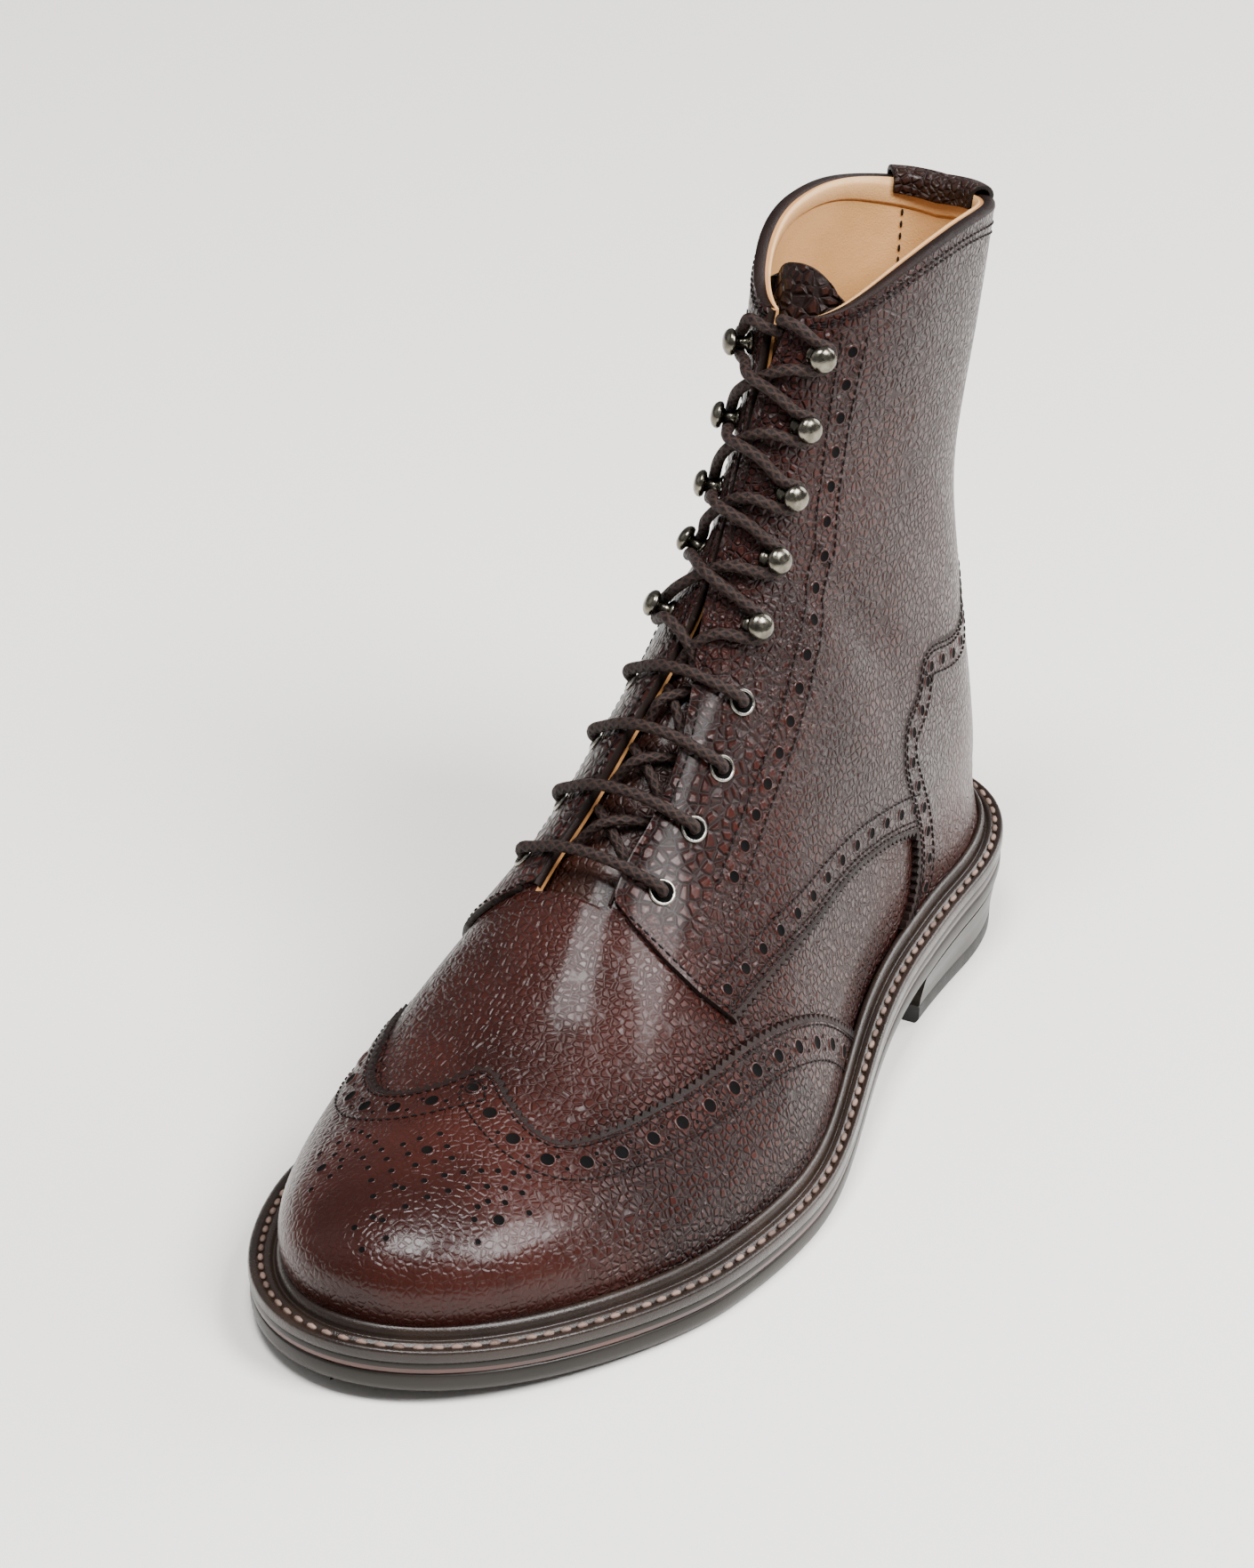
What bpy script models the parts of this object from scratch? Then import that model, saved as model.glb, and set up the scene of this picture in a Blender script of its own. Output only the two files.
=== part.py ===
"""Brogue derby boot, left foot: outsole, midsole, welt, heel, insole, upper and trimmings."""
import bpy
import bmesh
import math
import numpy as np
from mathutils import Vector

# Driving sizes, in metres. Lateral is +X, the toe points to -Y, the floor is Z = 0.
SOLE_LENGTH = 0.308
SOLE_WIDTH = 0.1186
HEEL_BACK = 0.038
HEEL_BREAST_SHARE = 0.26
HEEL_RISE = 0.0135
HEEL_PITCH = 0.0050
BALL_SHARE = 0.62
SPRING_SHARE = 0.70
TOE_SPRING = 0.0042
OUTSOLE_THICK = 0.0052
MIDSOLE_THICK = 0.0028
WELT_THICK = 0.0030
WELT_MARGIN = 0.0085
WELT_MARGIN_HEEL = 0.0066
WELT_MARGIN_TOE = 0.0104
WELT_MARGIN_MEDIAL = 0.0018
GAP = 0.0003
WALL = 0.0020
SHAFT_HEIGHT = 0.201
TOP_PIECE = 0.0050
INSOLE_THICK = 0.0046
TONGUE_THICK = 0.0018
TONGUE_HALF = 0.0200
TONGUE_DEEPER = 0.0018
TONGUE_FOOT_Z = 72.0
TONGUE_TOP_Z = 210.0
BEAD_HEIGHT = 0.0030
COLUMNS_SIDE = 10
COLUMNS_THROAT = 3
OVERLAY = 0.0012
OVERLAY_OVER_WELT = 0.0047
COUNTER_OVER_WELT = 0.0085
OVERLAY_GAP = 0.0005
RIDGE_REACH = 0.08
PANEL_GAP = 0.008
LOOP_WIDTH = 0.0290
LOOP_WIDTH_LOW = 0.0220
LOOP_THICK = 0.0014
LOOP_OUTSIDE = 0.0240
LOOP_INSIDE = 0.0120
LOOP_TOP = 0.0030
EYELET_OUTER = 0.0035
EYELET_HOLE = 0.0019
EYELET_HEIGHT = 0.0008
HOOK_FOOT = 0.0030
HOOK_NECK = 0.0016
HOOK_HEAD = 0.0038
HOOK_NECK_HEIGHT = 0.0043
HOOK_HEIGHT = 0.0069
LACE_RADIUS = 0.0014


# Half widths and middles of the sole are given at a ball width of 118.6 mm.
WIDE = SOLE_WIDTH / 0.1186
LONG = SOLE_LENGTH / 0.308
TALL = (SHAFT_HEIGHT - HEEL_RISE) / 0.1875

# Sole outline: share of the length from the heel, middle and half width in mm.
SOLE_TABLE = (
    # share, middle, half
    (0.00, -0.5, 37.4),
    (0.10, -1.0, 37.9),
    (0.20, -0.2, 38.1),
    (0.28, 2.6, 37.7),
    (0.37, 6.2, 38.9),
    (0.47, 9.4, 44.2),
    (0.57, 8.8, 52.6),
    (0.66, 4.6, 58.2),
    (0.75, 0.4, 59.3),
    (0.85, -2.8, 56.4),
    (1.00, -6.6, 54.0),
)

# Upper: each section is cut by a plane from the foot or back to the front ridge.
# back_y, back_up over the feather line, front_y, front_z, middle of the ridge, bulge
# beyond the foot, half width of a closed loop, level of the widest place, and the
# roundness of the front, its two sides and the back. Lengths are in mm.
UPPER_TABLE = (
    # back_y, back_up, front_y, front_z, ridge_x, bulge, half, level, front_p, lat_r, med_r, back_p
    (-259.4, 0.0, -260.9, 20.6, -6.4, 0.3, 24.5, 0.20, 2.0, 2.0, 2.0, 2.0),
    (-256.8, 0.0, -261.1, 26.4, -6.2, 0.3, 24.5, 0.20, 2.0, 2.0, 2.0, 2.0),
    (-249.4, 0.0, -256.8, 33.4, -6.0, 0.4, 24.5, 0.20, 2.1, 2.0, 1.9, 2.0),
    (-238.0, 0.0, -247.2, 38.9, -6.0, 0.4, 24.5, 0.19, 2.2, 2.0, 1.7, 2.0),
    (-222.0, 0.0, -231.0, 43.6, -6.0, 0.4, 24.5, 0.18, 2.3, 2.0, 1.4, 2.0),
    (-198.0, 0.0, -207.0, 49.0, -6.0, 0.5, 24.5, 0.16, 2.3, 1.9, 1.3, 2.0),
    (-168.0, 0.0, -181.0, 59.5, -6.4, 0.6, 24.5, 0.15, 2.3, 1.8, 1.7, 2.0),
    (-135.0, 0.0, -158.5, 75.0, -6.8, 0.8, 24.5, 0.16, 2.3, 1.8, 1.9, 2.0),
    (-103.0, 0.0, -137.5, 91.6, -5.4, 1.2, 24.5, 0.22, 2.3, 1.8, 1.75, 2.0),
    (-72.0, 0.0, -118.5, 108.2, -3.6, 1.6, 24.5, 0.28, 2.3, 1.8, 1.8, 2.0),
    (-42.0, 0.0, -103.5, 120.6, -2.2, 1.4, 24.5, 0.30, 2.3, 1.8, 1.8, 2.0),
    (-14.0, 0.0, -92.8, 131.8, -1.2, 1.2, 24.5, 0.30, 2.2, 1.8, 1.8, 2.0),
    (10.0, 0.0, -84.8, 142.6, -0.5, 1.8, 24.5, 0.30, 2.2, 1.8, 1.8, 2.1),
    (25.0, 0.0, -79.0, 152.0, 0.0, 1.6, 24.5, 0.30, 2.1, 1.8, 1.8, 2.2),
    (31.4, 0.0, -76.2, 156.6, 0.0, 0.6, 24.2, 0.31, 2.1, 1.8, 1.8, 2.3),
    (33.4, 17.0, -71.6, 164.8, 0.0, 0.6, 22.7, 0.36, 2.0, 1.9, 1.9, 2.3),
    (30.4, 42.0, -66.6, 173.6, 0.0, 0.6, 20.2, 0.42, 2.0, 1.9, 1.9, 2.2),
    (24.6, 72.0, -62.2, 181.6, 0.0, 0.6, 18.4, 0.46, 2.0, 2.0, 2.0, 2.1),
    (23.6, 103.0, -58.6, 188.4, 0.0, 0.6, 19.0, 0.48, 2.0, 2.0, 2.0, 2.2),
    (28.0, 136.0, -55.0, 195.0, 0.0, 0.6, 21.2, 0.50, 2.0, 2.1, 2.1, 2.4),
    (33.0, 169.0, -51.0, 202.0, 0.0, 0.6, 22.0, 0.50, 2.0, 2.2, 2.2, 2.7),
    (35.6, 186.0, -46.5, 214.0, 0.0, 0.6, 22.4, 0.50, 2.0, 2.2, 2.2, 2.8),
)
HEEL_ROW = 14
SEAM_X = -0.0005

# Collar line: place across the section, from the ridge (0) to the back seam (1), height in mm.
COLLAR_TABLE = (
    # place, height
    (0.00, 197.5),
    (0.10, 199.5),
    (0.22, 204.5),
    (0.38, 208.6),
    (0.52, 208.8),
    (0.70, 206.2),
    (0.86, 202.6),
    (1.00, 201.0),
)

# Throat: front ridge height, middle of the slot from the ridge and half gap, in mm.
THROAT_TABLE = (
    # ridge_z, middle, half
    (60.0, -1.0, 10.5),
    (79.5, -0.6, 10.4),
    (85.0, -0.8, 10.0),
    (95.0, 0.6, 9.2),
    (108.0, 1.0, 7.6),
    (120.0, -0.6, 4.4),
    (131.0, -1.6, 1.9),
    (145.0, -2.4, 1.2),
    (175.0, -3.2, 1.2),
    (190.0, -2.8, 1.8),
    (200.0, -2.4, 2.8),
    (215.0, -2.2, 3.4),
)
THROAT_FOOT_Z = 79.5

# Edge of the wing cap, from the medial welt over the vamp to the lateral welt.
WING_TABLE = (
    # place across (-1 medial welt, 0 ridge, 1 lateral welt), place along the foot
    (-1.00, 0.425),
    (-0.90, 0.412),
    (-0.80, 0.392),
    (-0.71, 0.362),
    (-0.64, 0.318),
    (-0.58, 0.270),
    (-0.53, 0.228),
    (-0.48, 0.193),
    (-0.39, 0.176),
    (-0.26, 0.172),
    (-0.17, 0.177),
    (-0.08, 0.188),
    (0.02, 0.202),
    (0.10, 0.191),
    (0.18, 0.179),
    (0.28, 0.170),
    (0.36, 0.170),
    (0.42, 0.183),
    (0.46, 0.202),
    (0.51, 0.240),
    (0.55, 0.283),
    (0.60, 0.338),
    (0.68, 0.380),
    (0.78, 0.410),
    (0.90, 0.430),
    (1.00, 0.444),
)

# Lower front edge of a quarter, from the throat to its tip.
QUARTER_FOOT_TABLE = (
    # place across, place along the foot
    (0.09, 0.3600),
    (0.15, 0.3530),
    (0.28, 0.3437),
    (0.40, 0.3390),
    (0.52, 0.3413),
)

# Gimped lower edge of a quarter, from its tip to the counter.
QUARTER_BACK_TABLE = (
    # place along the foot, place across
    (0.3413, 0.513),
    (0.3819, 0.537),
    (0.4200, 0.568),
    (0.4600, 0.608),
    (0.5000, 0.634),
    (0.5418, 0.666),
    (0.5776, 0.714),
    (0.6100, 0.790),
)

# Edge of the heel counter, from the welt up over the side to the back seam.
COUNTER_TABLE = (
    # place along the foot, place across
    (0.5465, 0.986),
    (0.5680, 0.943),
    (0.5870, 0.862),
    (0.6014, 0.764),
    (0.6110, 0.666),
    (0.6270, 0.580),
    (0.6516, 0.538),
    (0.6850, 0.534),
    (0.7088, 0.519),
    (0.7250, 0.539),
    (0.7446, 0.603),
    (0.7857, 0.760),
    (0.8280, 0.861),
    (0.8560, 1.000),
)

# Eyelets and hooks: place along the foot and across it, the medial side as a minus.
EYELET_TABLE = (
    # lateral along, lateral across, medial along, medial across
    (0.3866, 0.198, 0.3880, -0.232),
    (0.4415, 0.188, 0.4400, -0.212),
    (0.4940, 0.172, 0.4930, -0.186),
    (0.5513, 0.131, 0.5500, -0.150),
)
HOOK_TABLE = (
    # lateral along, lateral across, medial along, medial across
    (0.6158, 0.079, 0.6130, -0.098),
    (0.6754, 0.060, 0.6740, -0.090),
    (0.7303, 0.054, 0.7300, -0.088),
    (0.8019, 0.060, 0.8010, -0.094),
    (0.8926, 0.079, 0.8900, -0.102),
)


def spline(knots, values, at):
    """Natural cubic spline through the table values, read at the given places."""
    k = np.asarray(knots, float)
    v = np.asarray(values, float)
    n = len(k)
    h = np.diff(k)
    a = np.zeros((n, n))
    b = np.zeros(n)
    a[0, 0] = 1.0
    a[-1, -1] = 1.0
    for i in range(1, n - 1):
        a[i, i - 1] = h[i - 1]
        a[i, i] = 2.0 * (h[i - 1] + h[i])
        a[i, i + 1] = h[i]
        b[i] = 6.0 * ((v[i + 1] - v[i]) / h[i] - (v[i] - v[i - 1]) / h[i - 1])
    m = np.linalg.solve(a, b)
    x = np.clip(np.asarray(at, float), k[0], k[-1])
    i = np.clip(np.searchsorted(k, x, side="right") - 1, 0, n - 2)
    d = x - k[i]
    e = k[i + 1] - x
    w = h[i]
    return ((m[i] * e ** 3 + m[i + 1] * d ** 3) / (6.0 * w)
            + (v[i] / w - m[i] * w / 6.0) * e + (v[i + 1] / w - m[i + 1] * w / 6.0) * d)


def column(table, index):
    return [row[index] for row in table]


def sole_rise(share):
    """Height of the outsole's underside: heel seat, arch, flat ball and toe spring."""
    s = np.asarray(share, float)
    seat = HEEL_RISE + HEEL_PITCH * (HEEL_BREAST_SHARE - s) / HEEL_BREAST_SHARE
    t = np.clip((s - HEEL_BREAST_SHARE) / (BALL_SHARE - HEEL_BREAST_SHARE), 0.0, 1.0)
    arch = HEEL_RISE * (1.0 - t * t * (3.0 - 2.0 * t))
    toe = TOE_SPRING * np.clip((s - SPRING_SHARE) / (1.0 - SPRING_SHARE), 0.0, 1.0) ** 1.8
    return np.where(s < HEEL_BREAST_SHARE, seat, arch) + toe


def share_of(y):
    return np.clip((HEEL_BACK - np.asarray(y, float)) / SOLE_LENGTH, 0.0, 1.0)


def round_end(share):
    """Rounding of the outline at the heel and the toe."""
    s = np.asarray(share, float)
    heel = np.clip((0.16 - s) / 0.16, 0.0, 1.0)
    toe = np.clip((s - 0.74) / 0.26, 0.0, 1.0)
    return (1.0 - heel ** 2.2) ** (1.0 / 2.1) * np.sqrt(np.clip(1.0 - toe ** 2.0, 0.0, 1.0))


def outline(share, inset_side, inset_heel, inset_toe):
    """Middle, half width and y of the sole's outline, moved inwards by the insets."""
    s = np.asarray(share, float)
    middle = spline(column(SOLE_TABLE, 0), column(SOLE_TABLE, 1), s) * 0.001 * WIDE
    half = spline(column(SOLE_TABLE, 0), column(SOLE_TABLE, 2), s) * 0.001 * WIDE
    side = inset_side + (inset_heel - inset_side) * np.clip(1.0 - s / 0.20, 0.0, 1.0)
    y = HEEL_BACK - inset_heel - s * (SOLE_LENGTH - inset_heel - inset_toe)
    return middle, (half - side) * round_end(s), y


def feather(y):
    """Middle and half width of the line where the upper meets the welt."""
    y = np.asarray(y, float)
    length = SOLE_LENGTH - WELT_MARGIN_HEEL - WELT_MARGIN_TOE
    s = np.clip((HEEL_BACK - WELT_MARGIN_HEEL - y) / length, 0.0, 1.0)
    middle, half, _ = outline(s, WELT_MARGIN, WELT_MARGIN_HEEL, WELT_MARGIN_TOE)
    more = 0.5 * WELT_MARGIN_MEDIAL * np.clip((s - 0.45) / 0.25, 0.0, 1.0) * round_end(s)
    return middle + more, half - more


def welt_top(y):
    return sole_rise(share_of(y)) + OUTSOLE_THICK + MIDSOLE_THICK + WELT_THICK + 2.0 * GAP


def feather_z(y):
    return welt_top(y) + GAP


def row_places():
    """Places of the table rows along the upper, from the steps of its front and back."""
    step = [0.0]
    for a, b in zip(UPPER_TABLE[:-1], UPPER_TABLE[1:]):
        front = math.hypot(b[2] - a[2], b[3] - a[3])
        back = math.hypot(b[0] - a[0], b[1] - a[1])
        step.append(step[-1] + math.sqrt(front * back + 4.0))
    return np.array(step) / step[-1]


PLACES = row_places()


def section_rows(u):
    """The table's columns read at the places u."""
    return [spline(PLACES, column(UPPER_TABLE, i), u) for i in range(12)]


def upper_points(u, v):
    """Points of the upper's outer surface, u along the foot, v from the ridge to the foot.

    v is +1 at the lateral foot, 0 on the ridge and -1 at the medial foot."""
    u = np.asarray(u, float)
    v = np.asarray(v, float)
    shape = u.shape
    u = u.ravel()
    v = v.ravel()
    by, lift, fy, fz, rx, bulge, half, level, fp, lr, mr, bp = section_rows(u)
    by = by * 0.001 * LONG
    fy = fy * 0.001 * LONG
    fz = HEEL_RISE + (fz * 0.001 - 0.0135) * TALL
    arch = u <= PLACES[HEEL_ROW]
    lift = np.where(arch, 0.0, np.maximum(lift, 0.0)) * 0.001 * TALL
    heel_y = HEEL_BACK - WELT_MARGIN_HEEL
    by = np.where(arch, np.minimum(by, heel_y - 1e-7), by)
    middle, foot = feather(by)
    foot = np.where(arch, foot, 0.0)
    middle = np.where(arch, middle, SEAM_X)
    blend = np.clip((by - 0.004) / 0.022, 0.0, 1.0)
    middle = middle + (SEAM_X - middle) * blend * arch
    loop = half * 0.001 * WIDE
    start = PLACES[HEEL_ROW - 4]
    fall = np.clip((u - start) / (PLACES[HEEL_ROW] - start), 0.0, 1.0)
    side = foot + bulge * 0.001
    wide = np.where(arch, np.maximum(side, side + (loop - side) * fall), loop)
    bz = feather_z(by)
    bz = np.where(arch, bz, feather_z(heel_y) + lift)
    mid = middle
    ridge = rx * 0.001 * WIDE
    psi = 2.0 / math.pi * np.arcsin(np.clip(foot / wide, 0.0, 0.985) ** (bp / 2.0))
    cover = np.linspace(0.0, 1.0, 33)
    angle = (psi[:, None] + (1.0 - psi[:, None]) * cover[None, :]) * math.pi / 2.0
    down = 1.0 - np.cos(angle) ** (2.0 / bp[:, None])
    first = down[:, :1]
    q_back = level[:, None] * (down - first) / np.maximum(1.0 - first, 1e-6)
    w_back = wide[:, None] * np.sin(angle) ** (2.0 / bp[:, None])
    w_back[:, 0] = foot
    angle = cover[None, 1:] * math.pi / 2.0
    q_front = level[:, None] + (1.0 - level[:, None]) * np.sin(angle) ** (2.0 / fp[:, None])
    q = np.concatenate([q_back, q_front], axis=1)
    turn = q * q * (3.0 - 2.0 * q)
    centre = mid[:, None] + (ridge - mid)[:, None] * turn
    out = np.zeros((len(u), 3))
    y = by[:, None] + (fy - by)[:, None] * q
    z = bz[:, None] + (fz - bz)[:, None] * q
    for sign, power in ((1.0, lr), (-1.0, mr)):
        w_front = wide[:, None] * np.clip(np.cos(angle), 0.0, 1.0) ** (2.0 / power[:, None])
        w_front[:, -1] = 0.0
        x = centre + sign * np.concatenate([w_back, w_front], axis=1)
        d = np.sqrt(np.diff(x, axis=1) ** 2 + np.diff(y, axis=1) ** 2 + np.diff(z, axis=1) ** 2)
        run = np.concatenate([np.zeros((len(u), 1)), np.cumsum(d, axis=1)], axis=1)
        pick = np.nonzero(v * sign >= 0.0)[0]
        for i in pick:
            want = run[i, -1] * (1.0 - abs(v[i]))
            out[i, 0] = np.interp(want, run[i], x[i])
            out[i, 1] = np.interp(want, run[i], y[i])
            out[i, 2] = np.interp(want, run[i], z[i])
    return out.reshape(shape + (3,))


def arc_length(u, sign):
    """Length of half a section, from the foot to the ridge."""
    u = np.atleast_1d(np.asarray(u, float))
    v = sign * np.linspace(1.0, 0.0, 25)
    p = upper_points(np.repeat(u[:, None], 25, 1), np.repeat(v[None, :], len(u), 0))
    return np.sqrt(np.sum(np.diff(p, axis=1) ** 2, axis=2)).sum(axis=1)


def mesh_object(name, points, faces, colour, rough=0.5, metal=0.0):
    """One closed mesh with outward faces and its own material."""
    mesh = bpy.data.meshes.new(name)
    mesh.from_pydata([tuple(p) for p in points], [], faces)
    work = bmesh.new()
    work.from_mesh(mesh)
    bmesh.ops.remove_doubles(work, verts=work.verts, dist=0.00002)
    bmesh.ops.recalc_face_normals(work, faces=work.faces)
    if work.calc_volume(signed=True) < 0.0:
        bmesh.ops.reverse_faces(work, faces=work.faces)
    work.to_mesh(mesh)
    work.free()
    thing = bpy.data.objects.new(name, mesh)
    bpy.context.collection.objects.link(thing)
    material = bpy.data.materials.new(name)
    material.use_nodes = True
    shader = material.node_tree.nodes["Principled BSDF"]
    shader.inputs["Base Color"].default_value = colour + (1.0,)
    shader.inputs["Roughness"].default_value = rough
    shader.inputs["Metallic"].default_value = metal
    mesh.materials.append(material)
    return thing


def faces_out(face):
    """Positive where a face of the upper looks away from the inside of the shoe."""
    c = face.calc_center_median()
    inside = Vector((-0.003, -0.02, c.z)) if c.z > 0.1 else Vector((-0.003, c.y, 0.03))
    return face.normal.dot(c - inside) * face.calc_area()


def thicken(points, faces, outer, inner, merge=0.00002):
    """Points and faces of a closed skin between two distances from an open surface."""
    work = bmesh.new()
    verts = [work.verts.new(p) for p in points]
    for face in faces:
        try:
            work.faces.new([verts[i] for i in face])
        except ValueError:
            pass
    bmesh.ops.remove_doubles(work, verts=work.verts, dist=merge)
    bmesh.ops.dissolve_degenerate(work, edges=work.edges, dist=0.00001)
    bmesh.ops.recalc_face_normals(work, faces=work.faces)
    work.normal_update()
    if sum(faces_out(f) for f in work.faces) < 0.0:
        bmesh.ops.reverse_faces(work, faces=work.faces)
    work.verts.index_update()
    work.normal_update()
    count = len(work.verts)
    far = [tuple(v.co + v.normal * outer) for v in work.verts]
    near = [tuple(v.co + v.normal * inner) for v in work.verts]
    out = [tuple(v.index for v in f.verts) for f in work.faces]
    out += [tuple(v.index + count for v in reversed(f.verts)) for f in work.faces]
    for edge in work.edges:
        if len(edge.link_faces) == 1:
            loop = edge.link_loops[0]
            a = loop.vert.index
            b = loop.link_loop_next.vert.index
            out.append((b, a, a + count, b + count))
    work.free()
    return far + near, out


def grid_faces(rows, columns, skip=None):
    faces = []
    for i in range(rows - 1):
        for j in range(columns - 1):
            if skip and skip(i, j):
                continue
            a = i * columns + j
            faces.append((a, a + 1, a + columns + 1))
            faces.append((a, a + columns + 1, a + columns))
    return faces


def spaced(count):
    """Shares of the length, closer together at both ends."""
    t = np.linspace(0.0, 1.0, count)
    return 0.5 - 0.5 * np.cos(math.pi * t)


def feather_ring(share, inwards):
    """Middle, half width and y of the feather line, moved inwards."""
    s = np.asarray(share, float)
    middle, half, y = outline(s, WELT_MARGIN + inwards, WELT_MARGIN_HEEL + inwards,
                              WELT_MARGIN_TOE + inwards)
    more = 0.5 * WELT_MARGIN_MEDIAL * np.clip((s - 0.45) / 0.25, 0.0, 1.0) * round_end(s)
    return middle + more, half - more, y


def edge_ring(share, inset):
    return outline(share, inset, inset, inset)


def ladder(name, low, high, z_low, z_high, colour, rough=0.5):
    """A plate between two outlines, each given as middle, half width and y arrays."""
    points = []
    for (middle, half, y), z in ((low, z_low(low[2])), (high, z_high(high[2]))):
        for sign in (1.0, -1.0):
            points += list(zip(middle + sign * half, y, z))
    n = len(low[2])
    faces = []
    for i in range(n - 1):
        faces.append((i, i + 1, n + i + 1, n + i))
        faces.append((2 * n + i, 3 * n + i, 3 * n + i + 1, 2 * n + i + 1))
        faces.append((i, 2 * n + i, 2 * n + i + 1, i + 1))
        faces.append((n + i, n + i + 1, 3 * n + i + 1, 3 * n + i))
    for i in (0, n - 1):
        if low[1][i] > 0.0001 or high[1][i] > 0.0001:
            faces.append((i, n + i, 3 * n + i, 2 * n + i))
    return mesh_object(name, points, faces, colour, rough)


def layer_z(height):
    return lambda y: sole_rise(share_of(y)) + height


def build_sole():
    s = spaced(33)
    dark = (0.020, 0.013, 0.010)
    ladder("outsole", edge_ring(s, 0.0012), edge_ring(s, 0.0004), layer_z(0.0),
           layer_z(OUTSOLE_THICK), dark, 0.6)
    low = OUTSOLE_THICK + GAP
    ladder("midsole", edge_ring(s, 0.0004), edge_ring(s, 0.0003), layer_z(low),
           layer_z(low + MIDSOLE_THICK), (0.028, 0.016, 0.011), 0.5)
    low = OUTSOLE_THICK + MIDSOLE_THICK + 2.0 * GAP
    build_welt(spaced(27), low)
    few = spaced(21)
    ladder("insole", feather_ring(few, 0.0038), feather_ring(few, 0.0038), layer_z(low),
           layer_z(low + INSOLE_THICK), (0.55, 0.36, 0.20), 0.7)
    s = HEEL_BREAST_SHARE * (1.0 - np.cos(np.linspace(0.0, 0.5 * math.pi, 15)))
    ladder("heel", edge_ring(s, 0.0024), edge_ring(s, 0.0008),
           lambda y: 0.0 * y + TOP_PIECE + GAP, layer_z(-GAP), (0.024, 0.016, 0.012), 0.5)
    ladder("heel_top_piece", edge_ring(s, 0.0028), edge_ring(s, 0.0024),
           lambda y: 0.0 * y, lambda y: 0.0 * y + TOP_PIECE, (0.016, 0.013, 0.011), 0.7)


def build_welt(s, low):
    """Welt ring: flat stitched margin, groove and raised bead against the upper."""
    wide = np.clip((s - 0.4) / 0.2, 0.0, 1.0)
    clear = 0.0021 - 0.0007 * wide * wide * (3.0 - 2.0 * wide)
    top = WELT_THICK + BEAD_HEIGHT
    profile = (
        # distance outwards from the feather line, or None for the edge, and height
        (None, 0.0),
        (None, WELT_THICK),
        (clear + 0.0026, WELT_THICK),
        (clear + 0.0020, WELT_THICK - 0.0008),
        (clear + 0.0016, WELT_THICK + 0.0014),
        (clear + 0.0010, top - 0.0004),
        (clear + 0.0003, top),
        (clear, top - 0.0006),
        (0.0009, WELT_THICK),
        (-0.0030, WELT_THICK),
        (-0.0030, 0.0),
    )
    points = []
    n = len(s)
    for place, height in profile:
        if place is None:
            middle, half, y = edge_ring(s, 0.0)
        else:
            middle, half, y = feather_ring(s, -place)
        z = sole_rise(share_of(y)) + low + height
        points += list(zip(middle + half, y, z))
        points += list(zip(middle - half, y, z))
    faces = []
    rings = len(profile)
    for k in range(rings):
        a = 2 * n * k
        b = 2 * n * ((k + 1) % rings)
        for i in range(n - 1):
            faces.append((a + i, a + i + 1, b + i + 1, b + i))
            faces.append((a + n + i + 1, a + n + i, b + n + i, b + n + i + 1))
    mesh_object("welt", points, faces, (0.050, 0.030, 0.018), 0.5)


def place_of_ridge(z):
    """Place u at which the front ridge has the height z in mm."""
    u = np.linspace(PLACES[4], 1.0, 400)
    return float(np.interp(z, spline(PLACES, column(UPPER_TABLE, 3), u), u))


THROAT_FOOT = place_of_ridge(THROAT_FOOT_Z)
SHAFT_START = float(PLACES[16])


def throat_edges(u):
    """Places v of the two throat edges."""
    u = np.asarray(u, float)
    z = np.clip(spline(PLACES, column(UPPER_TABLE, 3), u), 60.0, 215.0)
    middle = spline(column(THROAT_TABLE, 0), column(THROAT_TABLE, 1), z) * 0.001
    half = spline(column(THROAT_TABLE, 0), column(THROAT_TABLE, 2), z) * 0.001
    reach = 0.5 * (arc_length(u, 1.0) + arc_length(u, -1.0))
    half = np.minimum(half, 0.3 * reach)
    return (middle + half) / reach, (middle - half) / reach


def collar_place(v):
    """Place u of the collar line for each v."""
    v = np.asarray(v, float)
    want = spline(column(COLLAR_TABLE, 0), column(COLLAR_TABLE, 1), np.abs(v)) * 0.001
    want = HEEL_RISE + (want - 0.0135) * TALL
    u = np.linspace(PLACES[18], 1.0, 60)
    grid_u = np.repeat(u[:, None], len(v), 1)
    z = upper_points(grid_u, np.repeat(v[None, :], len(u), 0))[..., 2]
    return np.array([np.interp(want[j], z[:, j], u) for j in range(len(v))])


def upper_rows():
    """Places of the upper's rows: each table row, with one between from toe to ankle."""
    rows = []
    for i, (a, b) in enumerate(zip(PLACES[:-1], PLACES[1:])):
        rows.append(float(a))
        if 2 <= i < HEEL_ROW + 2:
            rows.append(float(0.5 * (a + b)))
    rows.append(1.0)
    near = int(np.argmin(np.abs(np.array(rows) - THROAT_FOOT)))
    rows[near] = THROAT_FOOT
    return np.array(rows), near


def upper_grid(rows, columns_side, columns_throat, over=0.0):
    """Places u and v of a net over the upper whose columns follow the throat edges."""
    lateral, medial = throat_edges(rows)
    v = []
    turn = 2.0 * math.pi / columns_side
    near = [k / columns_side - 0.065 * math.sin(turn * k) for k in range(columns_side + 1)]
    for share in near:
        v.append(1.0 + (lateral - 1.0) * share)
    for k in range(1, columns_throat):
        v.append(lateral + (medial - lateral) * k / columns_throat)
    for share in reversed(near):
        v.append(-1.0 + (medial + 1.0) * share)
    v = np.stack(v, axis=1)
    u = np.repeat(rows[:, None], v.shape[1], 1)
    top = collar_place(v[-1])
    share = np.clip((u - SHAFT_START) / (1.0 - SHAFT_START), 0.0, 1.0)
    u = np.where(u > SHAFT_START, SHAFT_START + share * (top[None, :] + over - SHAFT_START), u)
    return u, v


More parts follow.
